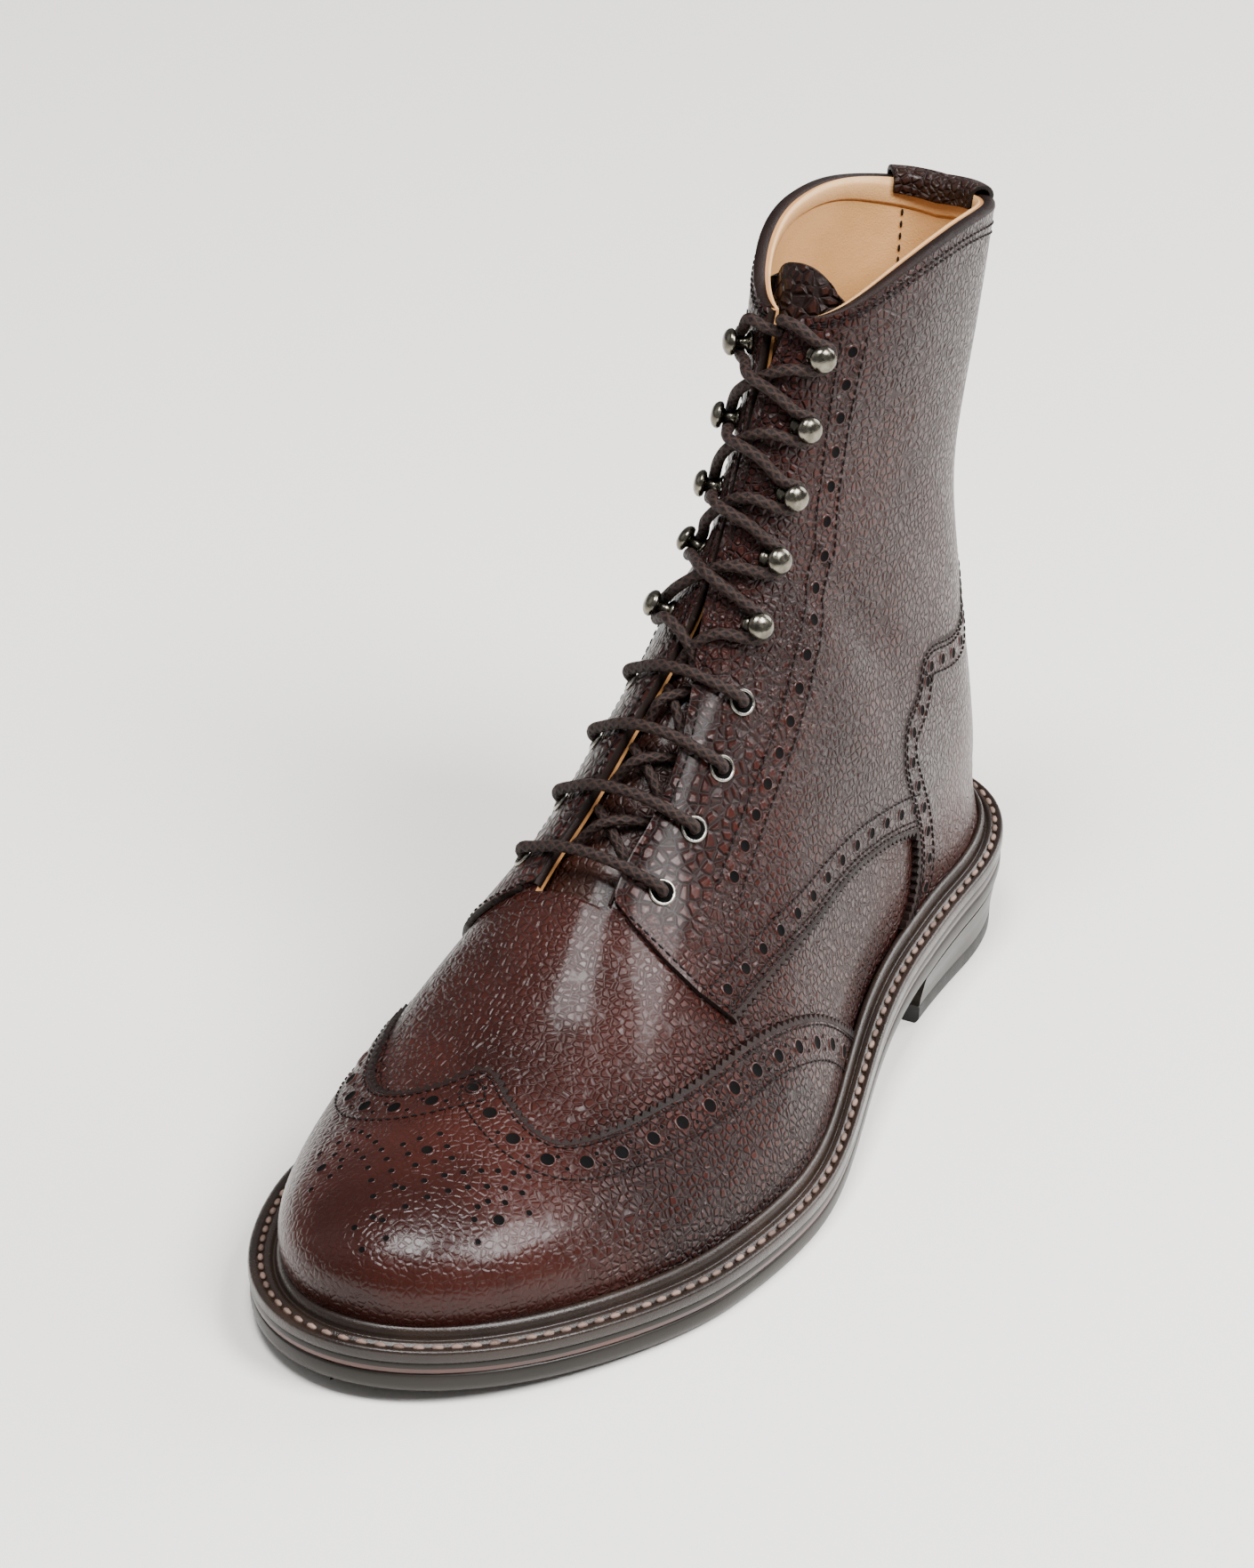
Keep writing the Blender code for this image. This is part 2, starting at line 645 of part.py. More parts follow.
def build_upper():
    rows, foot = upper_rows()
    u, v = upper_grid(rows, COLUMNS_SIDE, COLUMNS_THROAT)
    points = upper_points(u, v)
    columns = v.shape[1]
    first = COLUMNS_SIDE
    last = COLUMNS_SIDE + COLUMNS_THROAT
    flat = list(map(tuple, points.reshape(-1, 3)))
    faces = grid_faces(len(rows), columns, lambda i, j: i >= foot and first <= j < last)
    tip_y = HEEL_BACK - SOLE_LENGTH + WELT_MARGIN_TOE
    tip = len(flat)
    flat.append((UPPER_TABLE[0][4] * 0.001 * WIDE, tip_y, float(feather_z(tip_y))))
    for j in range(columns - 1):
        faces.append((tip, j + 1, j))
    points, faces = thicken(flat, faces, 0.0, -WALL)
    points = [(x, y, max(z, float(feather_z(y)))) for x, y, z in points]
    mesh_object("upper", points, faces, (0.075, 0.026, 0.018), 0.45)


def build_tongue():
    """Tongue: a sheet under the throat, from below the vamp's edge to above the collar."""
    z = spline([0, 1], [TONGUE_FOOT_Z, 200.0], np.linspace(0, 1, 2))
    rows = np.linspace(place_of_ridge(z[0]), 1.0, 17)
    front = spline(PLACES, column(UPPER_TABLE, 3), rows)
    lateral, medial = throat_edges(rows)
    middle = 0.5 * (lateral + medial)
    reach = 0.5 * (arc_length(rows, 1.0) + arc_length(rows, -1.0))
    wide = TONGUE_HALF / reach
    count = 8
    v = middle[:, None] + wide[:, None] * np.linspace(1.0, -1.0, count)[None, :]
    u = np.repeat(rows[:, None], count, 1)
    share = np.clip((u - SHAFT_START) / (1.0 - SHAFT_START), 0.0, 1.0)
    end = place_of_ridge(TONGUE_TOP_Z)
    u = np.where(u > SHAFT_START, SHAFT_START + share * (end - SHAFT_START), u)
    points = upper_points(u, v)
    flat = list(map(tuple, points.reshape(-1, 3)))
    depth = WALL + GAP + TONGUE_DEEPER
    points, faces = thicken(flat, grid_faces(len(rows), count), -depth, -depth - TONGUE_THICK)
    mesh_object("tongue", points, faces, (0.070, 0.026, 0.018), 0.5)


def surface_normal(u, v):
    """Outward unit normal of the upper's surface at one place."""
    d = 0.004
    points = upper_points(np.array([u, min(u + d, 1.0), u, u]), np.array([v, v, v - d, v + d]))
    normal = np.cross(points[1] - points[0], points[3] - points[2])
    inside = np.array([-0.003, -0.02, points[0][2]])
    if points[0][2] < 0.1:
        inside = np.array([-0.003, points[0][1], 0.03])
    normal = normal / np.linalg.norm(normal)
    return normal if normal @ (points[0] - inside) > 0.0 else -normal


def over_surface(u, v, height):
    return upper_points(np.array([u]), np.array([v]))[0] + surface_normal(u, v) * height


def over_ridge(u, v, height):
    """A point over the front ridge, along the middle of the normals at its two sides."""
    normal = surface_normal(u, v + RIDGE_REACH) + surface_normal(u, v - RIDGE_REACH)
    point = upper_points(np.array([u]), np.array([v]))[0]
    return point + normal / np.linalg.norm(normal) * height


def on_shaft(u, v):
    """Places above the ankle, drawn in so that 1 is the collar line."""
    top = collar_place(np.ravel(v)).reshape(np.shape(v))
    share = np.clip((u - SHAFT_START) / (1.0 - SHAFT_START), 0.0, 1.0)
    return np.where(u > SHAFT_START, SHAFT_START + share * (top - SHAFT_START), u)


def line(table, at):
    return np.interp(at, column(table, 0), column(table, 1))


def upper_cells():
    """The upper's own net as three-sided cells of places and points, with their side."""
    rows, foot = upper_rows()
    u, v = upper_grid(rows, COLUMNS_SIDE, COLUMNS_THROAT)
    net = np.concatenate([u[..., None], v[..., None], upper_points(u, v)], axis=2)
    cells = []
    for i in range(len(rows) - 1):
        for j in range(v.shape[1] - 1):
            side = 1 if j < COLUMNS_SIDE else (0 if j < COLUMNS_SIDE + COLUMNS_THROAT else -1)
            if side or i < foot:
                for corners in (((i, j), (i, j + 1), (i + 1, j + 1)),
                                ((i, j), (i + 1, j + 1), (i + 1, j))):
                    cells.append(([tuple(net[c]) for c in corners], side))
    return cells


def cut(cells, field):
    """Cells cut along the line where the field is zero; the positive side stays."""
    out = []
    for cell in cells:
        keep = []
        values = [field(corner) for corner in cell]
        for k in range(len(cell)):
            a = values[k - 1]
            b = values[k]
            if (a > 0.0) != (b > 0.0):
                t = a / (a - b)
                keep.append(tuple(p + (q - p) * t for p, q in zip(cell[k - 1], cell[k])))
            if b > 0.0:
                keep.append(cell[k])
        if len(keep) > 2:
            out.append(keep)
    return out


def over_welt(corner):
    """Height of a corner over the welt's top."""
    return float(corner[4] - welt_top(corner[3]))


def overlay(name, cells, colour):
    """A closed skin over the upper's own facets, on cut cells."""
    points = [corner[2:] for cell in cells for corner in cell]
    faces = []
    start = 0
    for cell in cells:
        faces.append(tuple(range(start, start + len(cell))))
        start += len(cell)
    points, faces = thicken(points, faces, OVERLAY_GAP + OVERLAY, OVERLAY_GAP, 0.0006)
    mesh_object(name, points, faces, colour, 0.45)


def build_wing_cap(cells):
    cells = [cell for cell, _ in cells if cell[0][0] < 0.5]
    cells = cut(cells, lambda c: line(WING_TABLE, c[1]) - c[0])
    cells = cut(cells, lambda c: over_welt(c) - OVERLAY_OVER_WELT)
    overlay("wing_cap", cells, (0.070, 0.022, 0.016))


def build_quarter(name, sign, cells):
    """Shaft and facing piece, from the throat's edge to the counter and the back seam."""
    cells = [cell for cell, side in cells if side == sign and cell[2][0] > 0.3]
    cells = cut(cells, lambda c: c[0] - line(QUARTER_FOOT_TABLE, sign * c[1]))
    cells = cut(cells, lambda c: min(line(QUARTER_BACK_TABLE, c[0]),
                                     line(COUNTER_TABLE, c[0]) - PANEL_GAP) - sign * c[1])
    overlay(name, cells, (0.080, 0.028, 0.020))


def build_counter(cells):
    """Heel counter: from the lateral foot round the back to the medial foot."""
    cells = [cell for cell, _ in cells if cell[2][0] > 0.5]
    cells = cut(cells, lambda c: abs(c[1]) - line(COUNTER_TABLE, c[0]))
    cells = cut(cells, lambda c: over_welt(c) - COUNTER_OVER_WELT)
    overlay("heel_counter", cells, (0.072, 0.024, 0.017))


def build_pull_loop():
    """Strap folded over the back of the collar, outside and inside."""
    depth = OVERLAY_GAP + OVERLAY + GAP + 0.5 * LOOP_THICK
    inner = -(WALL + 3.0 * GAP + 0.5 * LOOP_THICK)
    path = []
    for k in range(4):
        path.append((depth, -LOOP_OUTSIDE * (1.0 - k / 3.0)))
    path.append((0.9 * depth, 0.5 * LOOP_TOP))
    path.append((0.3 * depth, LOOP_TOP))
    path.append((0.4 * inner, LOOP_TOP))
    for k in range(3):
        path.append((inner, -LOOP_INSIDE * k / 2.0))
    reach = float(np.ravel(arc_length(PLACES[20], 1.0))[0])
    points = []
    columns = 5
    for offset, rise in path:
        low = LOOP_WIDTH_LOW if offset > 0.0 else LOOP_WIDTH
        wide = LOOP_WIDTH + (low - LOOP_WIDTH) * min(1.0, max(0.0, -rise / LOOP_OUTSIDE))
        for j in range(columns):
            side = (j / (columns - 1.0) - 0.5) * wide / reach
            v = math.copysign(1.0 - abs(side), side)
            top = float(collar_place(np.array([v]))[0])
            z = float(over_surface(top, v, 0.0)[2]) + min(rise, 0.0)
            places = np.linspace(PLACES[18], 1.0, 40)
            heights = upper_points(places, np.full(40, v))[:, 2]
            u = float(np.interp(z, heights, places))
            point = over_surface(u, v, 0.0)
            normal = surface_normal(u, v)
            level = np.array([normal[0], normal[1], 0.0])
            point = point + level / np.linalg.norm(level) * offset
            point[2] += max(rise, 0.0)
            points.append(tuple(point))
    half = 0.5 * LOOP_THICK
    points, faces = thicken(points, grid_faces(len(path), columns), half, -half)
    mesh_object("pull_loop", points, faces, (0.055, 0.022, 0.016), 0.45)


def frame_at(u, v):
    """Point, normal and two level directions of the surface, for a lathed piece."""
    normal = surface_normal(u, v)
    across = np.cross(normal, np.array([0.0, 0.0, 1.0]))
    across = across / np.linalg.norm(across)
    return over_surface(u, v, 0.0), normal, across, np.cross(normal, across)


def lathed(name, u, v, profile, colour, turns, closed):
    """A piece turned about the surface's normal, from radius and height pairs."""
    base, normal, across, along = frame_at(u, v)
    points = []
    for radius, height in profile:
        for k in range(turns):
            angle = 2.0 * math.pi * k / turns
            out = radius * (math.cos(angle) * across + math.sin(angle) * along)
            points.append(tuple(base + out + normal * height))
    rings = len(profile)
    faces = []
    for i in range(rings if closed else rings - 1):
        for k in range(turns):
            a = i * turns + k
            b = i * turns + (k + 1) % turns
            c = (i + 1) % rings * turns + (k + 1) % turns
            d = (i + 1) % rings * turns + k
            faces.append((a, b, c, d))
    mesh_object(name, points, faces, colour, 0.3, 1.0)


def build_eyelets_and_hooks():
    base = OVERLAY_GAP + OVERLAY + GAP
    ring = ((EYELET_HOLE, base), (EYELET_OUTER, base),
            (0.5 * (EYELET_HOLE + EYELET_OUTER), base + EYELET_HEIGHT))
    hook = ((0.00001, base), (HOOK_FOOT, base), (HOOK_NECK, base + 0.0010),
            (HOOK_NECK, base + HOOK_NECK_HEIGHT), (HOOK_HEAD, base + HOOK_NECK_HEIGHT + 0.0003),
            (0.7 * HOOK_HEAD, base + HOOK_HEIGHT - 0.0005), (0.00001, base + HOOK_HEIGHT))
    for side, place in (("lateral", 0), ("medial", 2)):
        for i, row in enumerate(EYELET_TABLE):
            lathed(f"eyelet_{side}_{i + 1}", row[place], row[place + 1], ring,
                   (0.62, 0.58, 0.52), 8, True)
        for i, row in enumerate(HOOK_TABLE):
            lathed(f"hook_{side}_{i + 1}", row[place], row[place + 1], hook,
                   (0.22, 0.20, 0.16), 6, False)


def tube(name, path, radius, sides=5):
    """A round lace along a path of points."""
    path = [Vector(p) for p in path]
    points = []
    side = None
    for i, point in enumerate(path):
        ahead = path[min(i + 1, len(path) - 1)] - path[max(i - 1, 0)]
        ahead.normalize()
        side = ahead.orthogonal() if side is None else side - ahead * side.dot(ahead)
        side.normalize()
        up = ahead.cross(side)
        for k in range(sides):
            angle = 2.0 * math.pi * k / sides
            points.append(tuple(point + radius * (math.cos(angle) * side + math.sin(angle) * up)))
    faces = []
    for i in range(len(path) - 1):
        for k in range(sides):
            a = i * sides + k
            b = i * sides + (k + 1) % sides
            faces.append((a, b, b + sides, a + sides))
    last = (len(path) - 1) * sides
    faces.append(tuple(range(sides)))
    faces.append(tuple(last + k for k in range(sides)))
    return mesh_object(name, points, faces, (0.045, 0.022, 0.016), 0.8)


def build_lace():
    """Four bars over the eyelets, and two strands that cross between the hooks."""
    base = OVERLAY_GAP + OVERLAY + GAP
    over = base + LACE_RADIUS
    for i, (lu, lv, mu, mv) in enumerate(EYELET_TABLE):
        path = []
        for u, v in ((lu, lv), (mu, mv)):
            eyelet, normal, _, _ = frame_at(u, v)
            inwards = over_surface(0.5 * (lu + mu), 0.0, 0.0) - eyelet
            inwards = inwards - normal * (inwards @ normal)
            inwards = inwards / np.linalg.norm(inwards)
            half = [eyelet + normal * (base + 0.0004), eyelet + normal * (base + 0.0016),
                    eyelet + normal * (over + 0.0014) + inwards * 0.0014,
                    eyelet + normal * (over + 0.0020) + inwards * 0.0042]
            path.append(half)
        middle = over_ridge(0.5 * (lu + mu), 0.5 * (lv + mv), over + 0.0022)
        tube(f"lace_bar_{i + 1}", path[0] + [middle] + path[1][::-1], LACE_RADIUS)
    neck = HOOK_NECK + LACE_RADIUS + 3.0 * GAP
    level = base + 0.5 * HOOK_NECK_HEIGHT + 0.0005
    strands = []
    for first in (0, 1):
        path = []
        for i, row in enumerate(HOOK_TABLE):
            place = 2 * ((i + first) % 2)
            other = 2 - place
            hook, normal, across, along = frame_at(row[place], row[place + 1])
            away = hook - frame_at(row[other], row[other + 1])[0]
            away = away - normal * (away @ normal)
            away = away / np.linalg.norm(away)
            up = np.cross(normal, away)
            up = up if up[2] > 0.0 else -up
            middle = 0.5 * (row[1] + row[3])
            before = HOOK_TABLE[i - 1] if i else EYELET_TABLE[-1]
            along_foot = 0.25 * (row[0] + row[2] + before[0] + before[2])
            if i:
                last = before[2 - place], before[3 - place]
                path.append(over_surface(0.5 * (last[0] + along_foot), 0.5 * (last[1] + middle),
                                         over + 0.0020))
                path.append(over_ridge(along_foot, middle, over + 0.0018))
                path.append(over_surface(0.5 * (row[place] + along_foot),
                                         0.5 * (row[place + 1] + middle), over + 0.0020))
            for angle in (-75.0, -25.0, 25.0, 75.0):
                a = math.radians(angle)
                path.append(hook + normal * level + neck * (math.cos(a) * away + math.sin(a) * up))
        strands.append(tube(f"lace_strand_{first + 1}", path, LACE_RADIUS))
    join = strands[0].modifiers.new("join", "BOOLEAN")
    join.operation = "UNION"
    join.solver = "EXACT"
    join.object = strands[1]
    bpy.context.view_layer.update()
    graph = bpy.context.evaluated_depsgraph_get()
    mesh = bpy.data.meshes.new_from_object(strands[0].evaluated_get(graph))
    material = strands[0].data.materials[0]
    for strand in strands:
        bpy.data.objects.remove(strand, do_unlink=True)
    mesh.materials.clear()
    mesh.materials.append(material)
    lace = bpy.data.objects.new("lace_cross", mesh)
    bpy.context.collection.objects.link(lace)


for thing in list(bpy.data.objects):
    bpy.data.objects.remove(thing, do_unlink=True)
build_sole()
build_upper()
build_tongue()
NET = upper_cells()
build_wing_cap(NET)
build_quarter("quarter_lateral", 1, NET)
build_quarter("quarter_medial", -1, NET)
build_counter(NET)
build_pull_loop()
build_eyelets_and_hooks()
build_lace()
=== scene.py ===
"""Looks of the brogue derby boot, left foot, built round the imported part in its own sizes."""
import bpy
import bmesh
import math
import numpy as np
from mathutils import Matrix, Vector


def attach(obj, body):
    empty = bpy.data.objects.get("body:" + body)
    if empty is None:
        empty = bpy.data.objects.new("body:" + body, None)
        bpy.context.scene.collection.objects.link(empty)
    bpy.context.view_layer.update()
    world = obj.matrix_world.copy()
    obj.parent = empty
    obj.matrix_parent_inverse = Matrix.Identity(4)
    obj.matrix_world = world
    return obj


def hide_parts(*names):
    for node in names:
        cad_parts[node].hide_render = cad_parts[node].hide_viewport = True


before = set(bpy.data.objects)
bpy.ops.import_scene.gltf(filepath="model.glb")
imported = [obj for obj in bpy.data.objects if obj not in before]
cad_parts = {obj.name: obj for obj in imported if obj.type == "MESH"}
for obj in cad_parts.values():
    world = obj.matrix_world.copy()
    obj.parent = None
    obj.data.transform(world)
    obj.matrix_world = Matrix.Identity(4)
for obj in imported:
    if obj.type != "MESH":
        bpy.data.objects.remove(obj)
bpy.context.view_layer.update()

# Sizes of the boot, in metres. Lateral is +X, the toe points to -Y, the floor is Z = 0.
SOLE_LENGTH = 0.308
SOLE_WIDTH = 0.1186
HEEL_BACK = 0.038
HEEL_BREAST_SHARE = 0.26
HEEL_RISE = 0.0135
HEEL_PITCH = 0.0050
BALL_SHARE = 0.62
SPRING_SHARE = 0.70
TOE_SPRING = 0.0042
OUTSOLE_THICK = 0.0052
MIDSOLE_THICK = 0.0028
WELT_THICK = 0.0030
WELT_MARGIN = 0.0085
WELT_MARGIN_HEEL = 0.0066
WELT_MARGIN_TOE = 0.0104
WELT_MARGIN_MEDIAL = 0.0018
GAP = 0.0003
WALL = 0.0020
SHAFT_HEIGHT = 0.201
TOP_PIECE = 0.0050
TONGUE_THICK = 0.0018
TONGUE_HALF = 0.0200
TONGUE_DEEPER = 0.0018
TONGUE_TOP_Z = 210.0
TONGUE_FOOT_Z = 72.0
LOOP_WIDTH = 0.0290
LOOP_WIDTH_LOW = 0.0220
LOOP_THICK = 0.0014
LOOP_OUTSIDE = 0.0240
LOOP_INSIDE = 0.0030
LOOP_TOP = 0.0026
LEATHER = 0.0012
PANEL_TOP = 0.0014
QUARTER_TOP = 0.0018
LACE_RADIUS = 0.0015
TOOTH_PITCH = 0.0026
TOOTH_DEPTH = 0.0013
STITCH_PITCH = 0.0023
WELT_STITCH_PITCH = 0.0046

# Half widths and middles of the sole are given at a ball width of 118.6 mm.
WIDE = SOLE_WIDTH / 0.1186
LONG = SOLE_LENGTH / 0.308
TALL = (SHAFT_HEIGHT - HEEL_RISE) / 0.1875

# Sole outline: share of the length from the heel, middle and half width in mm.
SOLE_TABLE = (
    # share, middle, half
    (0.00, -0.5, 37.4), (0.10, -1.0, 37.9), (0.20, -0.2, 38.1), (0.28, 2.6, 37.7),
    (0.37, 6.2, 38.9), (0.47, 9.4, 44.2), (0.57, 8.8, 52.6), (0.66, 4.6, 58.2),
    (0.75, 0.4, 59.3), (0.85, -2.8, 56.4), (1.00, -6.6, 54.0),
)

# Upper: each section is cut by a plane from the foot or back to the front ridge.
# back_y, back_up over the feather line, front_y, front_z, middle of the ridge, bulge
# beyond the foot, half width of a closed loop, level of the widest place, and the
# roundness of the front, its two sides and the back. Lengths are in mm.
UPPER_TABLE = (
    # back_y, back_up, front_y, front_z, ridge_x, bulge, half, level, front_p, lat_r, med_r, back_p
    (-259.4, 0.0, -260.9, 20.6, -6.4, 0.3, 24.5, 0.20, 2.0, 2.0, 2.0, 2.0),
    (-256.8, 0.0, -261.1, 26.4, -6.2, 0.3, 24.5, 0.20, 2.0, 2.0, 2.0, 2.0),
    (-249.4, 0.0, -256.8, 33.4, -6.0, 0.4, 24.5, 0.20, 2.1, 2.0, 1.9, 2.0),
    (-238.0, 0.0, -247.2, 38.9, -6.0, 0.4, 24.5, 0.19, 2.2, 2.0, 1.7, 2.0),
    (-222.0, 0.0, -231.0, 43.6, -6.0, 0.4, 24.5, 0.18, 2.3, 2.0, 1.4, 2.0),
    (-198.0, 0.0, -207.0, 49.0, -6.0, 0.5, 24.5, 0.16, 2.3, 1.9, 1.3, 2.0),
    (-168.0, 0.0, -181.0, 59.5, -6.4, 0.6, 24.5, 0.15, 2.3, 1.8, 1.7, 2.0),
    (-135.0, 0.0, -158.5, 75.0, -6.8, 0.8, 24.5, 0.16, 2.3, 1.8, 1.9, 2.0),
    (-103.0, 0.0, -137.5, 91.6, -5.4, 1.2, 24.5, 0.22, 2.3, 1.8, 1.75, 2.0),
    (-72.0, 0.0, -118.5, 108.2, -3.6, 1.6, 24.5, 0.28, 2.3, 1.8, 1.8, 2.0),
    (-42.0, 0.0, -103.5, 120.6, -2.2, 1.4, 24.5, 0.30, 2.3, 1.8, 1.8, 2.0),
    (-14.0, 0.0, -92.8, 131.8, -1.2, 1.2, 24.5, 0.30, 2.2, 1.8, 1.8, 2.0),
    (10.0, 0.0, -84.8, 142.6, -0.5, 1.8, 24.5, 0.30, 2.2, 1.8, 1.8, 2.1),
    (25.0, 0.0, -79.0, 152.0, 0.0, 1.6, 24.5, 0.30, 2.1, 1.8, 1.8, 2.2),
    (31.4, 0.0, -76.2, 156.6, 0.0, 0.6, 24.2, 0.31, 2.1, 1.8, 1.8, 2.3),
    (33.4, 17.0, -71.6, 164.8, 0.0, 0.6, 22.7, 0.36, 2.0, 1.9, 1.9, 2.3),
    (30.4, 42.0, -66.6, 173.6, 0.0, 0.6, 20.2, 0.42, 2.0, 1.9, 1.9, 2.2),
    (24.6, 72.0, -62.2, 181.6, 0.0, 0.6, 18.4, 0.46, 2.0, 2.0, 2.0, 2.1),
    (23.6, 103.0, -58.6, 188.4, 0.0, 0.6, 19.0, 0.48, 2.0, 2.0, 2.0, 2.2),
    (28.0, 136.0, -55.0, 195.0, 0.0, 0.6, 21.2, 0.50, 2.0, 2.1, 2.1, 2.4),
    (33.0, 169.0, -51.0, 202.0, 0.0, 0.6, 22.0, 0.50, 2.0, 2.2, 2.2, 2.7),
    (35.6, 186.0, -46.5, 214.0, 0.0, 0.6, 22.4, 0.50, 2.0, 2.2, 2.2, 2.8),
)
HEEL_ROW = 14
SEAM_X = -0.0005

# Collar line: place across the section, from the ridge (0) to the back seam (1), height in mm.
COLLAR_TABLE = (
    # place, height
    (0.00, 197.5), (0.10, 199.5), (0.22, 204.5), (0.38, 208.6), (0.52, 208.8), (0.70, 206.2),
    (0.86, 202.6), (1.00, 201.0),
)

# Throat: front ridge height, middle of the slot from the ridge and half gap, in mm.
THROAT_TABLE = (
    # ridge_z, middle, half
    (60.0, -1.0, 10.5), (79.5, -0.6, 10.4), (85.0, -0.8, 10.0), (95.0, 0.6, 9.2),
    (108.0, 1.0, 7.6), (120.0, -0.6, 4.4), (131.0, -1.6, 1.9), (145.0, -2.4, 1.2),
    (175.0, -3.2, 1.2), (190.0, -2.8, 1.8), (200.0, -2.4, 2.8), (215.0, -2.2, 3.4),
)
THROAT_FOOT_Z = 79.5

# Edge of the wing cap, from the medial welt over the vamp to the lateral welt.
WING_TABLE = (
    # place across (-1 medial welt, 0 ridge, 1 lateral welt), place along the foot
    (-1.00, 0.425), (-0.90, 0.412), (-0.80, 0.392), (-0.71, 0.362), (-0.64, 0.318),
    (-0.58, 0.270), (-0.53, 0.228), (-0.48, 0.193), (-0.39, 0.176), (-0.26, 0.172),
    (-0.17, 0.177), (-0.08, 0.188), (0.02, 0.202), (0.10, 0.191), (0.18, 0.179), (0.28, 0.170),
    (0.36, 0.170), (0.42, 0.183), (0.46, 0.202), (0.51, 0.240), (0.55, 0.283), (0.60, 0.338),
    (0.68, 0.380), (0.78, 0.410), (0.90, 0.430), (1.00, 0.444),
)

# Lower front edge of a quarter, from the throat to its tip.
QUARTER_FOOT_TABLE = (
    # place across, place along the foot
    (0.09, 0.3600), (0.15, 0.3530), (0.28, 0.3437), (0.40, 0.3390), (0.52, 0.3413),
)

# Gimped lower edge of a quarter, from its tip to the counter.
QUARTER_BACK_TABLE = (
    # place along the foot, place across
    (0.3413, 0.513), (0.3819, 0.537), (0.4200, 0.568), (0.4600, 0.608), (0.5000, 0.634),
    (0.5418, 0.666), (0.5776, 0.714), (0.6100, 0.790),
)

# Edge of the heel counter, from the welt up over the side to the back seam.
COUNTER_TABLE = (
    # place along the foot, place across
    (0.5465, 0.986), (0.5680, 0.943), (0.5870, 0.862), (0.6014, 0.764), (0.6110, 0.666),
    (0.6270, 0.580), (0.6516, 0.538), (0.6850, 0.534), (0.7088, 0.519), (0.7250, 0.539),
    (0.7446, 0.603), (0.7857, 0.760), (0.8280, 0.861), (0.8560, 1.000),
)

# Eyelets and hooks: place along the foot and across it, the medial side as a minus.
EYELET_TABLE = (
    # lateral along, lateral across, medial along, medial across
    (0.3866, 0.198, 0.3880, -0.232),
    (0.4415, 0.188, 0.4400, -0.212),
    (0.4940, 0.172, 0.4930, -0.186),
    (0.5513, 0.131, 0.5500, -0.150),
)
HOOK_TABLE = (
    # lateral along, lateral across, medial along, medial across
    (0.6158, 0.079, 0.6130, -0.098),
    (0.6754, 0.060, 0.6740, -0.090),
    (0.7303, 0.054, 0.7300, -0.088),
    (0.8019, 0.060, 0.8010, -0.094),
    (0.8926, 0.079, 0.8900, -0.102),
)

# Row of holes beside the facing, from the tip of the quarter up to the collar.
PUNCH_TABLE = (
    # place along the foot, place across
    (0.420, 0.341), (0.449, 0.323), (0.475, 0.307), (0.499, 0.291), (0.525, 0.273),
    (0.554, 0.252), (0.582, 0.230), (0.613, 0.205), (0.642, 0.186), (0.673, 0.172),
    (0.699, 0.158), (0.7255, 0.144), (0.754, 0.142), (0.788, 0.147), (0.823, 0.155),
    (0.854, 0.162), (0.885, 0.163), (0.925, 0.160),
)

# Cross-section of the storm welt, from under the upper over the bead to the edge.
WELT_TABLE = (
    # share of the margin, height in mm
    (0.06, 0.0), (0.06, 4.4), (0.10, 5.4), (0.16, 5.9), (0.22, 6.0), (0.29, 5.7), (0.345, 4.9),
    (0.37, 3.9), (0.385, 3.0), (0.42, 2.65), (0.455, 2.9), (0.49, 3.35), (0.55, 3.45),
    (0.615, 3.3), (0.65, 2.8), (0.70, 2.55), (0.75, 2.6), (0.79, 2.95), (0.83, 3.25),
    (0.90, 3.3), (0.955, 3.15), (0.985, 2.85), (1.00, 2.3), (1.00, 0.25), (0.985, 0.0),
    (0.06, 0.0),
)

# Soft troughs and ridges of the leather.
CREASE_TABLE = (
    # along, across, length mm, width mm, turn in degrees, depth mm
    (0.640, 0.36, 34.0, 7.0, 24.0, -0.9),
    (0.600, 0.45, 30.0, 6.0, 30.0, 0.5),
    (0.690, 0.30, 26.0, 6.0, 16.0, -0.6),
    (0.655, -0.36, 32.0, 7.0, -22.0, -0.8),
    (0.610, -0.44, 28.0, 6.0, -30.0, 0.4),
    (0.300, 0.22, 14.0, 6.0, 12.0, -0.12),
    (0.285, -0.15, 18.0, 6.0, -8.0, -0.12),
    (0.790, 0.62, 30.0, 9.0, 10.0, -0.7),
    (0.780, -0.60, 30.0, 9.0, -10.0, -0.6),
)

# Punched rosette on the toe: curved rows of holes for one half, in mm from its centre hole.
ROSETTE_TABLE = (
    # from x, from y, by x, by y, to x, to y, holes, radius mm
    (0.0, 0.0, 0.0, 0.0, 0.0, 0.0, 1, 1.45),
    (0.0, 6.2, 4.0, 3.0, 6.6, 0.3, 3, 0.80),
    (3.5, -2.7, 2.0, -4.0, 0.0, -5.6, 2, 0.80),
    (24.0, 6.2, 13.0, 2.0, 1.0, -13.2, 8, 0.80),
    (25.0, 1.4, 12.0, -3.5, 1.2, -23.0, 8, 0.80),
    (28.5, -1.6, 12.5, -6.0, 22.5, -15.5, 6, 0.80),
    (24.0, -8.2, 24.0, -8.2, 24.0, -8.2, 1, 1.45),
    (4.2, -26.4, 3.0, -29.5, 0.0, -30.2, 2, 0.80),
)
ROSETTE_X = -0.0045
ROSETTE_Y = -0.2262

